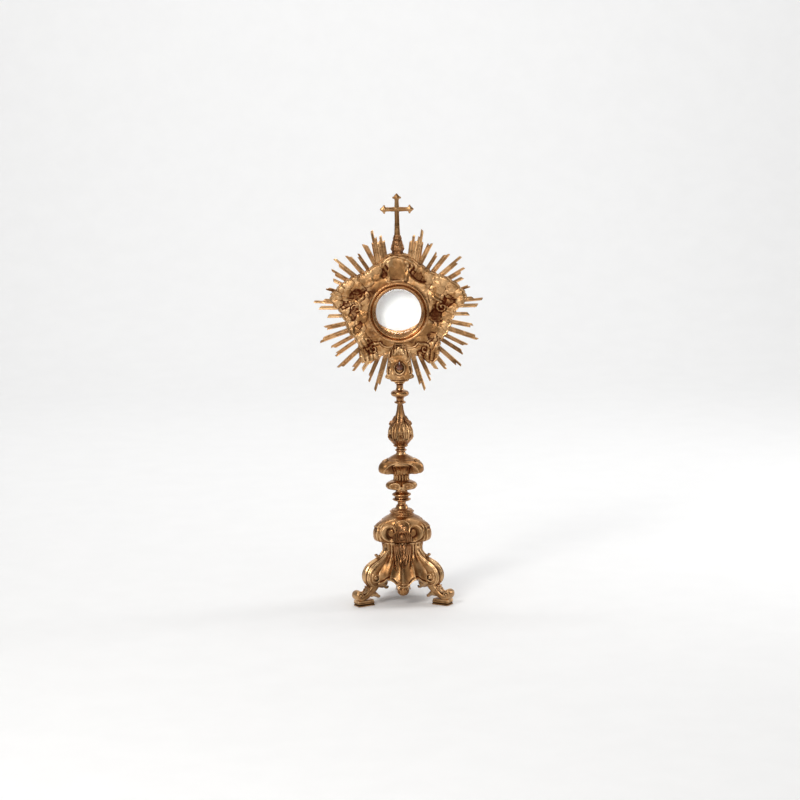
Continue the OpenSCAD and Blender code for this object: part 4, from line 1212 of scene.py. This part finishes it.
def cloud_height(x, z, edge):
    """Height of the plate's front above its sheet, in millimetres."""
    p = np.stack([x, z], 1)
    rho = np.hypot(x, z)
    p3 = np.stack([x, z, 0 * x], 1)
    h = 1.3 + 1.5 * smooth(76, 50, rho) + 1.5 * noise(p3, 27, 8)
    # puffs that overlap like scales; the crease between two is drawn in
    top, second = np.zeros(len(p)), np.zeros(len(p))
    for cx, cz, r, tall in PUFFS:
        a = np.arctan2(z - cz, x - cx)
        wavy = 1 + 0.08 * np.sin(3 * a + cx) + 0.06 * np.sin(5 * a + cz) + 0.03 * np.sin(9 * a + cx)
        d2 = ((x - cx) ** 2 + (z - cz) ** 2) / (r * wavy) ** 2
        dome = tall * np.clip(1 - d2, 0, 1) ** 0.5
        second = np.maximum(second, np.minimum(top, dome))
        top = np.maximum(top, dome)
    crease = bump(top, second, 0.16) * (second > 0.5)
    h = h + top - 0.2 * crease
    h = h + 0.5 * noise(p3, 10, 3) + 0.16 * noise(p3, 4.2, 4)
    # a chased line that wanders over the clouds
    h = h - 0.35 * bump(noise(p3, 22, 21), 0.1, 0.04) * smooth(52, 58, rho)
    h = h - 1.2 * shaded_dips(x, z)
    mirror = np.stack([-np.abs(x), z + np.where(x > 0, 1.5, 0.0)], 1)
    for line, half, tall in SCROLLS:
        low, high = line.min(0) - 8, line.max(0) + 8
        near = ((mirror > low) & (mirror < high)).all(1)
        if near.any():
            d, t = distance_to(mirror[near], line)
            wide = half * (1 - 0.4 * t)
            level = np.minimum(h[near], 3.2)
            on = smooth(wide * 1.5, wide * 0.9, d)
            ridge = tall * (1 - smooth(0, 1, d / wide)) - 0.35 * bump(d, wide * 1.3, 0.35 * wide)
            h[near] = h[near] * (1 - on) + level * on + ridge
    # the smooth niche over the window, and the plumes in the lower corners
    niche = smooth(17, 11, np.abs(x + 1.5) + 0.22 * np.abs(z - 62)) * smooth(49, 53, z) * smooth(90, 84, z)
    h = (h * (1 - 0.85 * niche) + niche
        * (1.9 - 1.5 * np.cos(np.clip((x + 1.5) / 13, -1, 1) * PI / 2) + 0.9 * smooth(58, 84, z)))
    for cx, cz, tilt in ((-53, -70, 8), (54, -70, -8), (-61, -57, 28), (62, -57, -28)):
        c, n = math.cos(math.radians(tilt)), math.sin(math.radians(tilt))
        u, v = (x - cx) * c + (z - cz) * n, -(x - cx) * n + (z - cz) * c
        w = smooth(13, 9, np.abs(u)) * smooth(13, 9, np.abs(v - 0.03 * u * u))
        h = h * (1 - 0.5 * w) + w * (1.2 + 1.2 * np.abs(np.cos(u * PI / 7.5)))
    h = h + bump(edge, 1.4, 1.0) * 0.7 - bump(edge, 3.8, 0.8) * 0.4
    return np.clip(h, 0.3, 6.4) * smooth(-0.2, 1.8, edge) + 0.2


def make_plate():
    a = circle(1500)
    deg = np.degrees(a)
    half = np.where(deg <= 180, deg, 360 - deg)
    r_out = np.where(deg <= 180, cloud_radius(half, 0.0), cloud_radius(half, 0.9))
    fade = smooth(6, 0, half) + smooth(174, 180, half)
    mean = cloud_radius(np.clip(half, 0, 180), 0.45)
    r_out = r_out * (1 - fade) + mean * fade
    t = np.linspace(0, 1, 190) ** 0.92
    rr = HOLE_R + (r_out[:, None] - HOLE_R) * t[None, :]
    x = -np.sin(a)[:, None] * rr
    z = np.cos(a)[:, None] * rr
    edge = (r_out[:, None] - rr) * 0.9
    h = cloud_height(x.ravel(), z.ravel(), edge.ravel()).reshape(x.shape)
    front = PLATE_Y + RELIEF_BASE - np.clip(h, 0.1, 9)
    back = np.minimum(front + SHEET, PLATE_Y + SHEET_BACK)
    top = np.stack([x, front, z + WINDOW_Z], -1)
    low = np.stack([x, back, z + WINDOW_Z], -1)
    part = Part().torus(np.concatenate([top, low[:, ::-1]], 1))
    # Painted light and shade on the plate: painted shade in the dips, a little darker further from the edge,
    # and a painted highlight along the rim bank.
    brown_and_painted_shade = shaded_dips(x.ravel(), z.ravel()).reshape(x.shape)
    brown_and_painted_shade = 0.3 * brown_and_painted_shade + 0.1 * smooth(13, 22, edge) - 0.3 * smooth(19, 13, edge) * (1 - brown_and_painted_shade)
    part.make("embossed_clouds", "sheet", "stand", ["cloud_plate", "cloud_relief"], reach=2.2, sharp=50,
        gain=0.7,
              shade=np.concatenate([brown_and_painted_shade, brown_and_painted_shade[:, ::-1]], 1).ravel())


make_plate()

# ---------------------------------------------------------------- window, shield and cross


def window_turned(name, nodes, prof, material="turned", body="stand", mod=None, n=240):
    """A ring about the window's axis, from a closed profile of (radius, y)."""
    Part().torus(around_window(prof, n, mod)).make(name, material, body, nodes, reach=1.0, sharp=34)


window_turned("window_lining", ["window_tube"], outline(
    (44, -13.8), (44, 15.6), (43.6, 16), (41.4, 16), (41.0, 15.6), (41.0, -13.6), (41.4, -14),
    (43.7, -14), (44, -13.8)), "dark")
BEZEL = outline(
    (41.0, -12.1), (38.9, -12.2), (38.4, -12.8), (38.4, -14.6), (39.0, -15.2), (38.9, -16.4),
    (39.8, -17.0), (40.0, -18.6), (39.7, -20.0), (40.6, -21.4, 0.4),
    (42.8, -21.5, 0.5), (43.8, -20.2), (44.6, -19.4), (45.2, -20.6, -0.1), (46.6, -22.3, 0.3),
    (48.4, -22.0, 0.3), (49.8, -20.0, 0.4), (49.9, -17.8, 0.2),
    (48.8, -16.4), (48.9, -15.4, -0.1), (49.9, -14.6, 0.1), (49.9, -12.9, 0.1), (49.4, -12.1),
    (41.0, -12.1))
window_turned("window_bezel_ring", ["window_bezel"], BEZEL, n=300,
              mod=lambda a, r, y: (r + 0.09 * np.sin(9 * a + 1) + 0.05 * np.sin(23 * a),
                  y + 0.06 * np.sin(5 * a)))
back = in_mm(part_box("sunburst_ring"))[1][1]
window_turned("backing_ring", ["sunburst_ring"], outline(
    (44.2, back - 3), (77.4, back - 3), (77.9, back - 2.4), (77.9, back - 0.6), (77.3, back - 0.02),
    (45, back - 0.02),
    (44.2, back - 0.6), (44.2, back - 3)), "dark", n=200)

# the pointed shield under the window
SHIELD_TOP, SHIELD_LOW = 431.0, 366.6
SHIELD_BACK, SHIELD_FRONT = -8, -14.0
GEM_Z = 391.0


def shield_half(z):
    """Half-width of the shield at a height, with its scalloped foot."""
    return np.interp(z, [366.6, 367.6, 368.4, 369.8, 371.4, 372.4, 374.4, 377, 379.4, 380.6, 384, 388,
        392, 400, 408, 416, 422, 427, 431],
                     [7.5, 10.0, 14.0, 15.0, 15.6, 20.2, 23.6, 24.0, 22.2, 20.8, 21.9, 21.5, 20.6, 19.6,
                         18.4, 16.8, 14.8, 11.4, 5.0])


def make_shield():
    z = np.linspace(SHIELD_LOW, SHIELD_TOP, 230)[:, None]
    u = np.linspace(-1, 1, 141)[None, :]
    half = shield_half(z)
    x = u * half
    zz = z + 0 * u
    drop = np.hypot(x, (zz - GEM_Z) * 0.8) * (1 + 0.22 * smooth(0, 12, zz - GEM_Z))
    d = np.hypot(x, (zz - GEM_Z) * 0.9)
    edge = (1 - np.abs(u)) * half
    near = np.minimum(edge, np.minimum(zz - SHIELD_LOW, SHIELD_TOP - zz))
    h = 0.8 + 4.2 * np.sqrt(np.clip(1 - np.clip(d / 29, 0, 1) ** 2, 0, 1)) * smooth(0, 6, near)
    h = h + 1.0 * bump(near, 1.5, 0.9) - 0.8 * bump(near, 3.6, 0.8)
    h = (h + 0.8 * np.abs(np.cos(np.arctan2(x, GEM_Z - zz) * 4.5)) * smooth(12, 15, d)
        * smooth(GEM_Z + 2, GEM_Z - 6, zz) * smooth(0, 3, near))
    h = h + 1.3 * bump(drop, 8.6, 1.0) - 1.9 * smooth(7.8, 6.9, drop)
    crest = smooth(410, 415, zz) * smooth(431, 428, zz)
    h = h + crest * (0.9 + 0.7 * np.cos(x * 1.1) - 0.06 * np.abs(x))
    h = h + 0.25 * noise(np.stack([x, zz, 0 * x], -1).reshape(-1, 3), 4, 9).reshape(x.shape)
    h = np.clip(h, 0.5, 5.9)
    front = np.stack([x, SHIELD_BACK - h, zz], -1)
    back = np.stack([x * 0.985, np.full_like(x, SHIELD_BACK - 0.05), zz], -1)
    part = Part().sheet(front, back)
    front = np.array([0, -1.0, 0])
    # crest of leaves and curls over the gem
    for s, reach in ((0, 1.0), (-1, 0.85), (1, 0.85), (-2, 0.6), (2, 0.6)):
        turn = math.radians(22 * s)
        up = np.array([math.sin(turn), 0, math.cos(turn)])
        across = np.array([math.cos(turn), 0, -math.sin(turn)])
        leaf(part, [(10.2, 0), (12.4, 4.5 * reach), (13.4, 9 * reach), (12.6, 12.6 * reach),
            (11.0, 14.6 * reach)], 3.4, 0, thick=0.8, lobes=3, rib=0.6, cup=0.22,
             origin=(1.6 * s, 0, 412.5 - 0.9 * abs(s)), turn=(front, across, up), rows=34, cols=17)
    for s in (-1, 1):
        for cx, cz, r, begin, sense, w in (
                (11.6, 403.6, 4.6, 60, -1, 1.5), (16.2, 396.4, 2.8, 100, -1, 1.1),
                (17.6, 377.6, 3.2, 250, 1, 1.2)):
            sp = spiral(s * cx, cz, r, begin if s > 0 else 180 - begin, 1.25, 44, sense * s)
            p3 = np.stack([sp[:, 0], -11.8 + 0.05 * np.abs(sp[:, 0]), sp[:, 1]], 1)
            part.tube(sweep(p3, np.linspace(w, 0.6 * w, 44), np.linspace(1.2, 0.7, 44), front, n=18,
                power=0.9))
    for v in part.v:
        v[:, 1] = np.maximum(v[:, 1], SHIELD_FRONT)
    part.make("shell_shield", "sheet", "stand", ["shell_cartouche"], reach=1.6, gain=0.9)


make_shield()


def make_gem():
    """A drop-shaped stone with rows of facets and its point up."""
    low, high = in_mm(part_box("cartouche_gem"))
    back, front, base = high[1], low[1], low[2]
    half, tip = (high[0] - low[0]) / 2, min(high[2], low[2] + 18.5)
    a = circle(180)
    mid = base + half * 0.98
    rise = np.clip(np.sin(a), 0, 1)
    px = half * np.cos(a) * (1 - 0.42 * rise ** 1.2)
    pz = np.where(np.sin(a) > 0, (tip - mid) * rise ** 1.5, half * 0.98 * np.sin(a))
    facet = 1 - 0.02 * np.abs(np.sin(7 * a))
    rings = []
    for s, y in ((0.92, back), (1.0, back - 0.3), (1.0, back - 0.8), (0.94, back - 1.6),
                 (0.74, front + 0.8), (0.46, front + 0.25), (0.28, front)):
        rings.append(np.stack([px * s * facet, np.full_like(a, y), mid + pz * s * facet], 1))
    Part().tube(np.array(rings)).make("drop_stone", "stone", "stand", ["cartouche_gem"], sharp=14)


make_gem()

# socket and cross
SOCKET = spline([(8.6, 576.5), (9.4, 579), (8.8, 581.4), (10.2, 583.6), (10.7, 585), (10.4, 588),
    (9.2, 592.4), (7.8, 597), (6.6, 601.6), (6.0, 605.4), (5.8, 608)], 90)


def socket_mod(a, r, z):
    """Six lobes that shift by half a lobe at each tier, and the lines between the tiers."""
    r = r * (0.95 + 0.07 * np.cos(6 * a + PI * (z > 592) + PI * (z > 600)))
    return r + 0.6 * bump(z, 586, 0.8) - 0.5 * bump(z, 592, 0.7) - 0.5 * bump(z, 600, 0.7), z


def make_cross_socket():
    g = around_stem(SOCKET, 160, socket_mod)
    g[..., 1] = g[..., 1] * 0.93
    mid = middle("cross_socket").y * 1000 - STEM_Y
    part = Part().tube(g + np.array([0, mid, 0]))
    for tier, (z0, r0, tall, lean) in enumerate(((584.6, 9.6, 9.4, 1.4), (592, 8.0, 8.2, 1.2),
            (599.4, 6.4, 7.0, 1.0))):
        for k in range(6):
            path = [(r0 - 0.6, z0), (r0 + 0.7, z0 + tall * 0.35),
                    (r0 + 0.3 - 0.1 * lean, z0 + tall * 0.75), (r0 - 0.5, z0 + tall)]
            leaf(part, path, 3.5, 60 * k + (30 if tier % 2 else 0), thick=0.8, lobes=3,
                 rib=0.5, cup=0.24, origin=(0, mid, 0), rows=26, cols=15)
    part.wobble(0.1, 6, 4)
    part.make("leafy_socket", "red", "stand", ["cross_socket"], reach=1.0)


make_cross_socket()


ARM_Z = 650.0


def make_cross():
    low, high = in_mm(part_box("cross"))
    mid = (low[1] + high[1]) / 2
    part = Part()
    across = np.array([1.0, 0, 0])
    c = np.array([0, mid, ARM_Z])

    def arm(aim, side, stations):
        """One arm with a soft lozenge section, from rows of (distance, half width, half depth)."""
        s = spline(stations, 110)
        a = circle(48)
        vein = 0.3 * bump(np.cos(a), 0, 0.13) * np.sign(np.sin(a))
        wide = s[:, 1][:, None] * 1.22 * squared(np.cos(a), 1.15)
        deep = s[:, 2][:, None] * np.sin(a) + vein
        part.tube(c + s[:, 0][:, None, None] * aim + wide[..., None] * side + deep[..., None]
            * np.cross(side, aim))

    def budded(aim, side, length):
        """An arm that ends in a bud with a smaller one on each side."""
        k = length - 27.7
        arm(aim, side, [
            (-1, 3.3, 2.2), (5, 3.1, 2.1), (12 + k / 2, 2.8, 2.0), (17 + k, 2.9, 2.0), (18.6 + k, 3.5, 2.1),
            (20.2 + k, 4.9, 2.3), (21.6 + k, 5.0, 2.3), (23.2 + k, 3.6, 2.2), (25 + k, 2.3, 1.7),
            (26.6 + k, 1.2, 1.1),
            (27.6 + k, 0.3, 0.4)])
        for off in (-1, 1):
            ball(part, c + aim * (20.6 + k) + side * off * 5.4, 1.8, (1, 1, 1), 18)
        ball(part, c + aim * (21.2 + k) + np.array([0, -1.5, 0]), 1.6, (1, 0.7, 1), 16)

    budded(UP, across, high[2] - ARM_Z)
    budded(across, UP, high[0])
    budded(-across, UP, high[0])
    arm(-UP, across, [(-1, 3.3, 2.2), (8, 3.1, 2.1), (20, 3.2, 2.2), (32, 3.6, 2.3), (40, 3.9, 2.4),
        (44.5, 4.0, 2.4)])
    for k in range(4):
        ang = math.radians(45 + 90 * k)
        ball(part, (3.6 * math.cos(ang), mid - 1.0, ARM_Z + 3.6 * math.sin(ang)), 1.2, (1, 0.8, 1), 14)
    ball(part, (0, mid - 1.5, ARM_Z), 2.3, (1, 0.42, 1), 20)
    part.wobble(0.1, 6, 9)
    for v in part.v:
        v[:] = np.clip(v, low, high)
    part.make("budded_cross", "cast", "stand", ["cross"], reach=0.9, sharp=50)


make_cross()

# ---------------------------------------------------------------- capsule and lid


def span(node):
    """Where a CAD node begins and ends in depth."""
    low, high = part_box(node)
    return low.y * 1000 - STEM_Y, high.y * 1000 - STEM_Y


def pane(name, node, r, body):
    """A glass disc about the window's axis with a softened edge."""
    y0, y1 = span(node)
    edge = 0.3
    half = [0.2, r * 0.3, r * 0.6, r * 0.85, r - edge, r - 0.3 * edge, r]
    q = min(edge, (y1 - y0) / 2)
    yy = [y0] * 5 + [y0 + 0.3 * q, y0 + q, y1 - q, y1 - 0.3 * q] + [y1] * 5
    g = around_window(np.stack([half + half[::-1], yy], 1), 180)
    Part().tube(g).make(name, "glass", body, [node], sharp=40)


window_turned("capsule_shell", ["capsule_ring"], outline(
    (37.5, -10), (40.2, -10), (40.7, -9.5), (40.7, 16.3), (46.1, 16.3), (46.5, 16.7, 0.2),
    (46.5, 17.9, 0.2), (46.1, 18.3), (39.2, 18.3), (38.7, 17.8),
    (38.7, -8.5), (37.2, -8.5), (37.1, -9.6), (37.5, -10)), "turned", body="capsule", n=220)
FRONT_GLASS_R, REAR_GLASS_R = 38.6, 38.8
pane("front_pane", "front_glass", FRONT_GLASS_R, "capsule")


def snap_ring(name, node, body):
    """A split ring of round spring wire."""
    low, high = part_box(node)
    y = (low.y + high.y) * 500 - STEM_Y
    wire = (high.y - low.y) * 500
    r = (high.z - low.z) * 500 - wire
    a = np.radians(np.linspace(-84, 264, 150))
    path = np.stack([r * np.cos(a), np.full(150, y), WINDOW_Z + r * np.sin(a)], 1)
    half = np.full(150, wire * 0.98)
    part = Part().tube(sweep(path, half, half, np.array([0, 1.0, 0]), n=16, power=1.0))
    part.make(name, "steel", body, [node])


snap_ring("glass_spring", "glass_snap_ring", "capsule")
snap_ring("lid_glass_spring", "lid_snap_ring", "lid")


def wafer_mod(a, r, y):
    return r - 0.1 * (1 + np.sin(7 * a)) * (r > 30), y


y0, y1 = span("host_wafer")
wr = (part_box("host_wafer")[1].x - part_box("host_wafer")[0].x) * 500
wafer_prof = np.array([(0.2, y0 + 0.1), (10, y0 + 0.1), (22, y0 + 0.12), (wr - 4.8, y0 + 0.12),
    (wr - 4.2, y0 + 0.3), (wr - 3.5, y0 + 0.12), (wr - 1.8, y0 + 0.1), (wr - 0.8, y0), (wr - 0.3, y0 + 0.2),
                       (wr, y0 + 0.5), (wr, y1 - 0.4), (wr - 0.3, y1 - 0.1), (wr - 1, y1), (22, y1),
                       (10, y1), (0.2, y1)])
Part().tube(around_window(wafer_prof, 240, wafer_mod)).make("wafer_disc", "wafer", "capsule",
    ["host_wafer"], sharp=40)

# the crescents that hold the wafer
for name, node in (("crescent_front", "lunula_front"), ("crescent_rear", "lunula_rear")):
    y0, y1 = span(node)
    n = 120
    reach = math.radians(62)
    a = np.linspace(-reach, reach, n)
    half = 2.7 * np.cos(a / reach * PI / 2) ** 0.75 + 0.25
    mid = 38.0 - half
    path = np.stack([mid * np.sin(a), np.full(n, (y0 + y1) / 2), WINDOW_Z - mid * np.cos(a)], 1)
    inward = -np.stack([np.sin(a), 0 * a, -np.cos(a)], 1)
    part = Part().tube(sweep(path, half, np.full(n, (y1 - y0) / 2 * 0.97), inward, n=24, power=0.6))
    part.make(name, "turned", "capsule", [node], reach=0.6)


HINGE_X = middle("hinge_pin").x * 1000
HINGE_Y = middle("hinge_pin").y * 1000 - STEM_Y
low, high = in_mm(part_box("capsule_hinge"))
low2, high2 = in_mm(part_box("lid_hinge"))
KNUCKLE_R = HINGE_X - low[0]


def hinge_barrel(part, z0, z1):
    """A knuckle about the hinge's pin, with softened ends."""
    r = KNUCKLE_R
    prof = outline((0.1, z0), (r - 0.3, z0), (r, z0 + 0.3, 0.08), (r, z1 - 0.3), (r - 0.3, z1, 0.08),
        (0.1, z1))
    part.tube(around_stem(prof, 40) + np.array([HINGE_X, HINGE_Y, 0]))


def slab(part, x0, x1, y0, y1, z0, z1):
    """A small flat plate with softened edges."""
    soft = 0.25
    cx, cz = (x0 + x1) / 2, (z0 + z1) / 2
    a = circle(64)
    ux, uz = squared(np.cos(a), 0.16), squared(np.sin(a), 0.16)
    hx, hz = (x1 - x0) / 2, (z1 - z0) / 2
    rings = []
    for y, s in ((y0, soft), (y0 + soft, 0), (y1 - soft, 0), (y1, soft)):
        rings.append(np.stack([cx + ux * (hx - s), np.full(64, y), cz + uz * (hz - s)], 1))
    part.tube(np.array(rings))


part = Part()
for z0, z1 in ((low[2], low2[2] - 0.2), (high2[2] + 0.2, high[2])):
    hinge_barrel(part, z0, z1)
    slab(part, HINGE_X - 2.3, high[0], low[1], HINGE_Y - 0.4, z0, z1)
part.make("capsule_knuckles", "turned", "capsule", ["capsule_hinge"], reach=0.6)
# the lid's leaf, with two rivets
part = Part()
hinge_barrel(part, low2[2], high2[2])
slab(part, HINGE_X + 0.1, high2[0], high2[1] - 1.0, high2[1], low2[2], high2[2])
slab(part, HINGE_X, HINGE_X + 3.4, HINGE_Y, high2[1] - 0.6, low2[2], high2[2])
for rise in (2.4, -2.4):
    ball(part, (HINGE_X + 6.2, high2[1] - 0.15, WINDOW_Z + rise), 1.1, (1, 0.14, 1), 16)
for v in part.v:
    v[:, 1] = np.minimum(v[:, 1], high2[1])
part.make("lid_leaf", "turned", "lid", ["lid_hinge"], reach=0.6)
low, high = in_mm(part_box("hinge_pin"))
r = (high[0] - low[0]) / 2
prof = outline((0.05, low[2]), (r - 0.2, low[2]), (r, low[2] + 0.4, 0.06), (r, high[2] - 0.4),
               (r - 0.2, high[2], 0.06), (0.05, high[2]))
part = Part().tube(around_stem(prof, 32) + np.array([HINGE_X, HINGE_Y, 0]))
part.make("hinge_wire", "dark", "capsule", ["hinge_pin"])

low, high = in_mm(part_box("lid_catch"))
t = np.linspace(0, 1, 40)
path = low + (high - low) * np.stack([0.5 + 0 * t, t, 0.5 + 0 * t], 1)
path[:, 0] += 0.25 * np.sin(PI * t)
part = Part().tube(sweep(path, 4.8 * (1 - 0.35 * smooth(0.8, 1.0, t)), np.full(40, 0.62), UP, n=32,
    power=0.4))
part.make("catch_spring", "dark", "capsule", ["lid_catch"])

ly0, ly1 = span("lid_ring")
window_turned("lid_frame", ["lid_ring"], outline(
    (37.4, ly0), (42.5, ly0), (43, ly0 + 0.5), (43, ly1 - 0.8), (42.2, ly1, 0.3), (39.4, ly1, 0.0),
    (38.9, ly1 - 0.4, 0.05), (38.9, ly0 + 1.2), (37.4, ly0 + 1.2), (37.2, ly0 + 0.6), (37.4, ly0)),
    "turned", body="lid", n=220)
pane("rear_pane", "lid_glass", REAR_GLASS_R, "lid")
low, high = in_mm(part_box("lid_knob"))
kx, ky0, ky1 = (low[0] + high[0]) / 2, low[1], high[1]
prof = outline((0.1, ky0), (2.4, ky0), (2.5, ky0 + 0.5, 0.1), (1.5, ky0 + 1.0, -0.1), (1.3, ky0 + 2.6),
    (2.0, ky0 + 3.4, -0.15), (2.95, ky0 + 5.2, 0.3), (2.9, ky0 + 6.6, 0.3), (2.0, ky1 - 0.5, 0.3),
    (0.8, ky1, 0.1), (0.1, ky1))
g = around_stem(prof, 48, lambda a, r, z: (r * (1 + 0.025 * np.abs(np.sin(8 * a)) * (r > 2.6)), z))
part = Part().tube(np.stack([g[..., 0] + kx, g[..., 2], g[..., 1] + WINDOW_Z], -1))
part.make("lid_pull", "turned", "lid", ["lid_knob"], reach=0.6)

# ---------------------------------------------------------------- tang

# The square post behind the plate, with softened edges and hand-filed faces.
low, high = in_mm(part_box("glory_tang"))
half, mid = (high - low) / 2, (high + low) / 2
a = circle(80)
ux, uy = squared(np.cos(a), 0.2), squared(np.sin(a), 0.2)
rows = []
for z, s in ((low[2], 0.9), (low[2] + 1.2, 1), (high[2] - 2.5, 1), (high[2] - 0.8, 0.97), (high[2], 0.9)):
    rows.append(np.stack([ux * half[0] * s, mid[1] + uy * half[1] * (0.5 + s / 2), np.full(80, z)], 1))
rows = np.array(rows)
between = [rows[1:2] + (rows[2:3] - rows[1:2]) * t for t in np.linspace(0.02, 0.98, 60)]
part = Part().tube(np.concatenate([rows[:2]] + between + [rows[2:]]))
part.wobble(0.06, 6, 2)
for v in part.v:
    v[:, :2] = np.clip(v[:, :2], low[:2], high[:2])
part.make("rear_tang", "dark", "stand", ["glory_tang"], reach=0.8)

# ---------------------------------------------------------------- studio

FLOOR_FRONT, FLOOR_BACK, FLOOR_HALF, CURVE_R, WALL_HEIGHT = -4.0, 2.4, 7.0, 1.6, 4.5
STEPS = 90


def floor_line(t):
    """(y, z) in metres along a paper sweep: the floor, a quarter circle and the wall."""
    if t < 0.5:
        return FLOOR_FRONT + t * 2 * (FLOOR_BACK - FLOOR_FRONT), 0.0
    if t < 0.78:
        a = (t - 0.5) / 0.28 * PI / 2
        return FLOOR_BACK + CURVE_R * math.sin(a), CURVE_R - CURVE_R * math.cos(a)
    return FLOOR_BACK + CURVE_R, CURVE_R + (t - 0.78) / 0.22 * WALL_HEIGHT


floor = bpy.data.meshes.new("sweep")
verts = [(x, *floor_line(k / (STEPS - 1))) for k in range(STEPS) for x in (-FLOOR_HALF, FLOOR_HALF)]
faces = [(2 * k, 2 * k + 1, 2 * k + 3, 2 * k + 2) for k in range(STEPS - 1)]
floor.from_pydata(verts, [], faces)
floor.validate()
floor.shade_smooth()
floor.materials.append(floor_material())
sweep_ob = bpy.data.objects.new("sweep", floor)
bpy.context.scene.collection.objects.link(sweep_ob)

world = bpy.data.worlds.new("studio")
world.use_nodes = True
bg = world.node_tree.nodes["Background"]
bg.inputs["Color"].default_value = (1, 1, 1, 1)
bg.inputs["Strength"].default_value = 0.27
bpy.context.scene.world = world


def area(name, at, to, wide, power, tall, colour=(1, 1, 1)):
    """A rectangular lamp at one place that points to another; sizes in metres, power in watts."""
    light = bpy.data.lights.new(name, "AREA")
    light.energy = power
    light.color = colour
    light.shape = "RECTANGLE"
    light.size = wide
    light.size_y = tall
    ob = bpy.data.objects.new(name, light)
    ob.location = at
    ob.rotation_euler = (Vector(to) - Vector(at)).to_track_quat("-Z", "Y").to_euler()
    bpy.context.scene.collection.objects.link(ob)


CENTRE = (0, 0, 0.33)
area("key", (-1.3, -2.1, 1.9), CENTRE, 0.7, 33, 1.1, (1.0, 0.98, 0.95))
area("front", (-0.1, -3.2, 1.1), (0, 0, 0.47), 0.9, 18, 0.7)
area("edge", (1.7, 0.5, 1.1), CENTRE, 0.5, 10, 1.4)
area("top", (0.0, -0.4, 3.4), (0, -0.3, 0), 4.2, 32, 4.2)
area("back_wash", (0.0, 1.0, 3.6), (0, 4.0, 1.4), 4.0, 85, 1.6)

DISTANCE = 4.0
ELEV = math.radians(8.5)
ROLL = math.radians(-0.97)
VIEW_WIDTH = 0.658 * 2
cam_data = bpy.data.cameras.new("view")
cam = bpy.data.objects.new("view", cam_data)
bpy.context.scene.collection.objects.link(cam)
AIM = Vector((0.0, STEM_Y / 1000, 0.336))
cam.location = AIM + Vector((0, -DISTANCE * math.cos(ELEV), DISTANCE * math.sin(ELEV)))
look = (AIM - cam.location).to_track_quat("-Z", "Y")
cam.rotation_euler = (look.to_matrix() @ Matrix.Rotation(ROLL, 3, "Z")).to_euler()
cam_data.angle = 2 * math.atan(VIEW_WIDTH / 2 / DISTANCE)
cam_data.clip_start = 0.1
cam_data.clip_end = 30
bpy.context.scene.camera = cam
bpy.context.scene.view_settings.view_transform = "Standard"
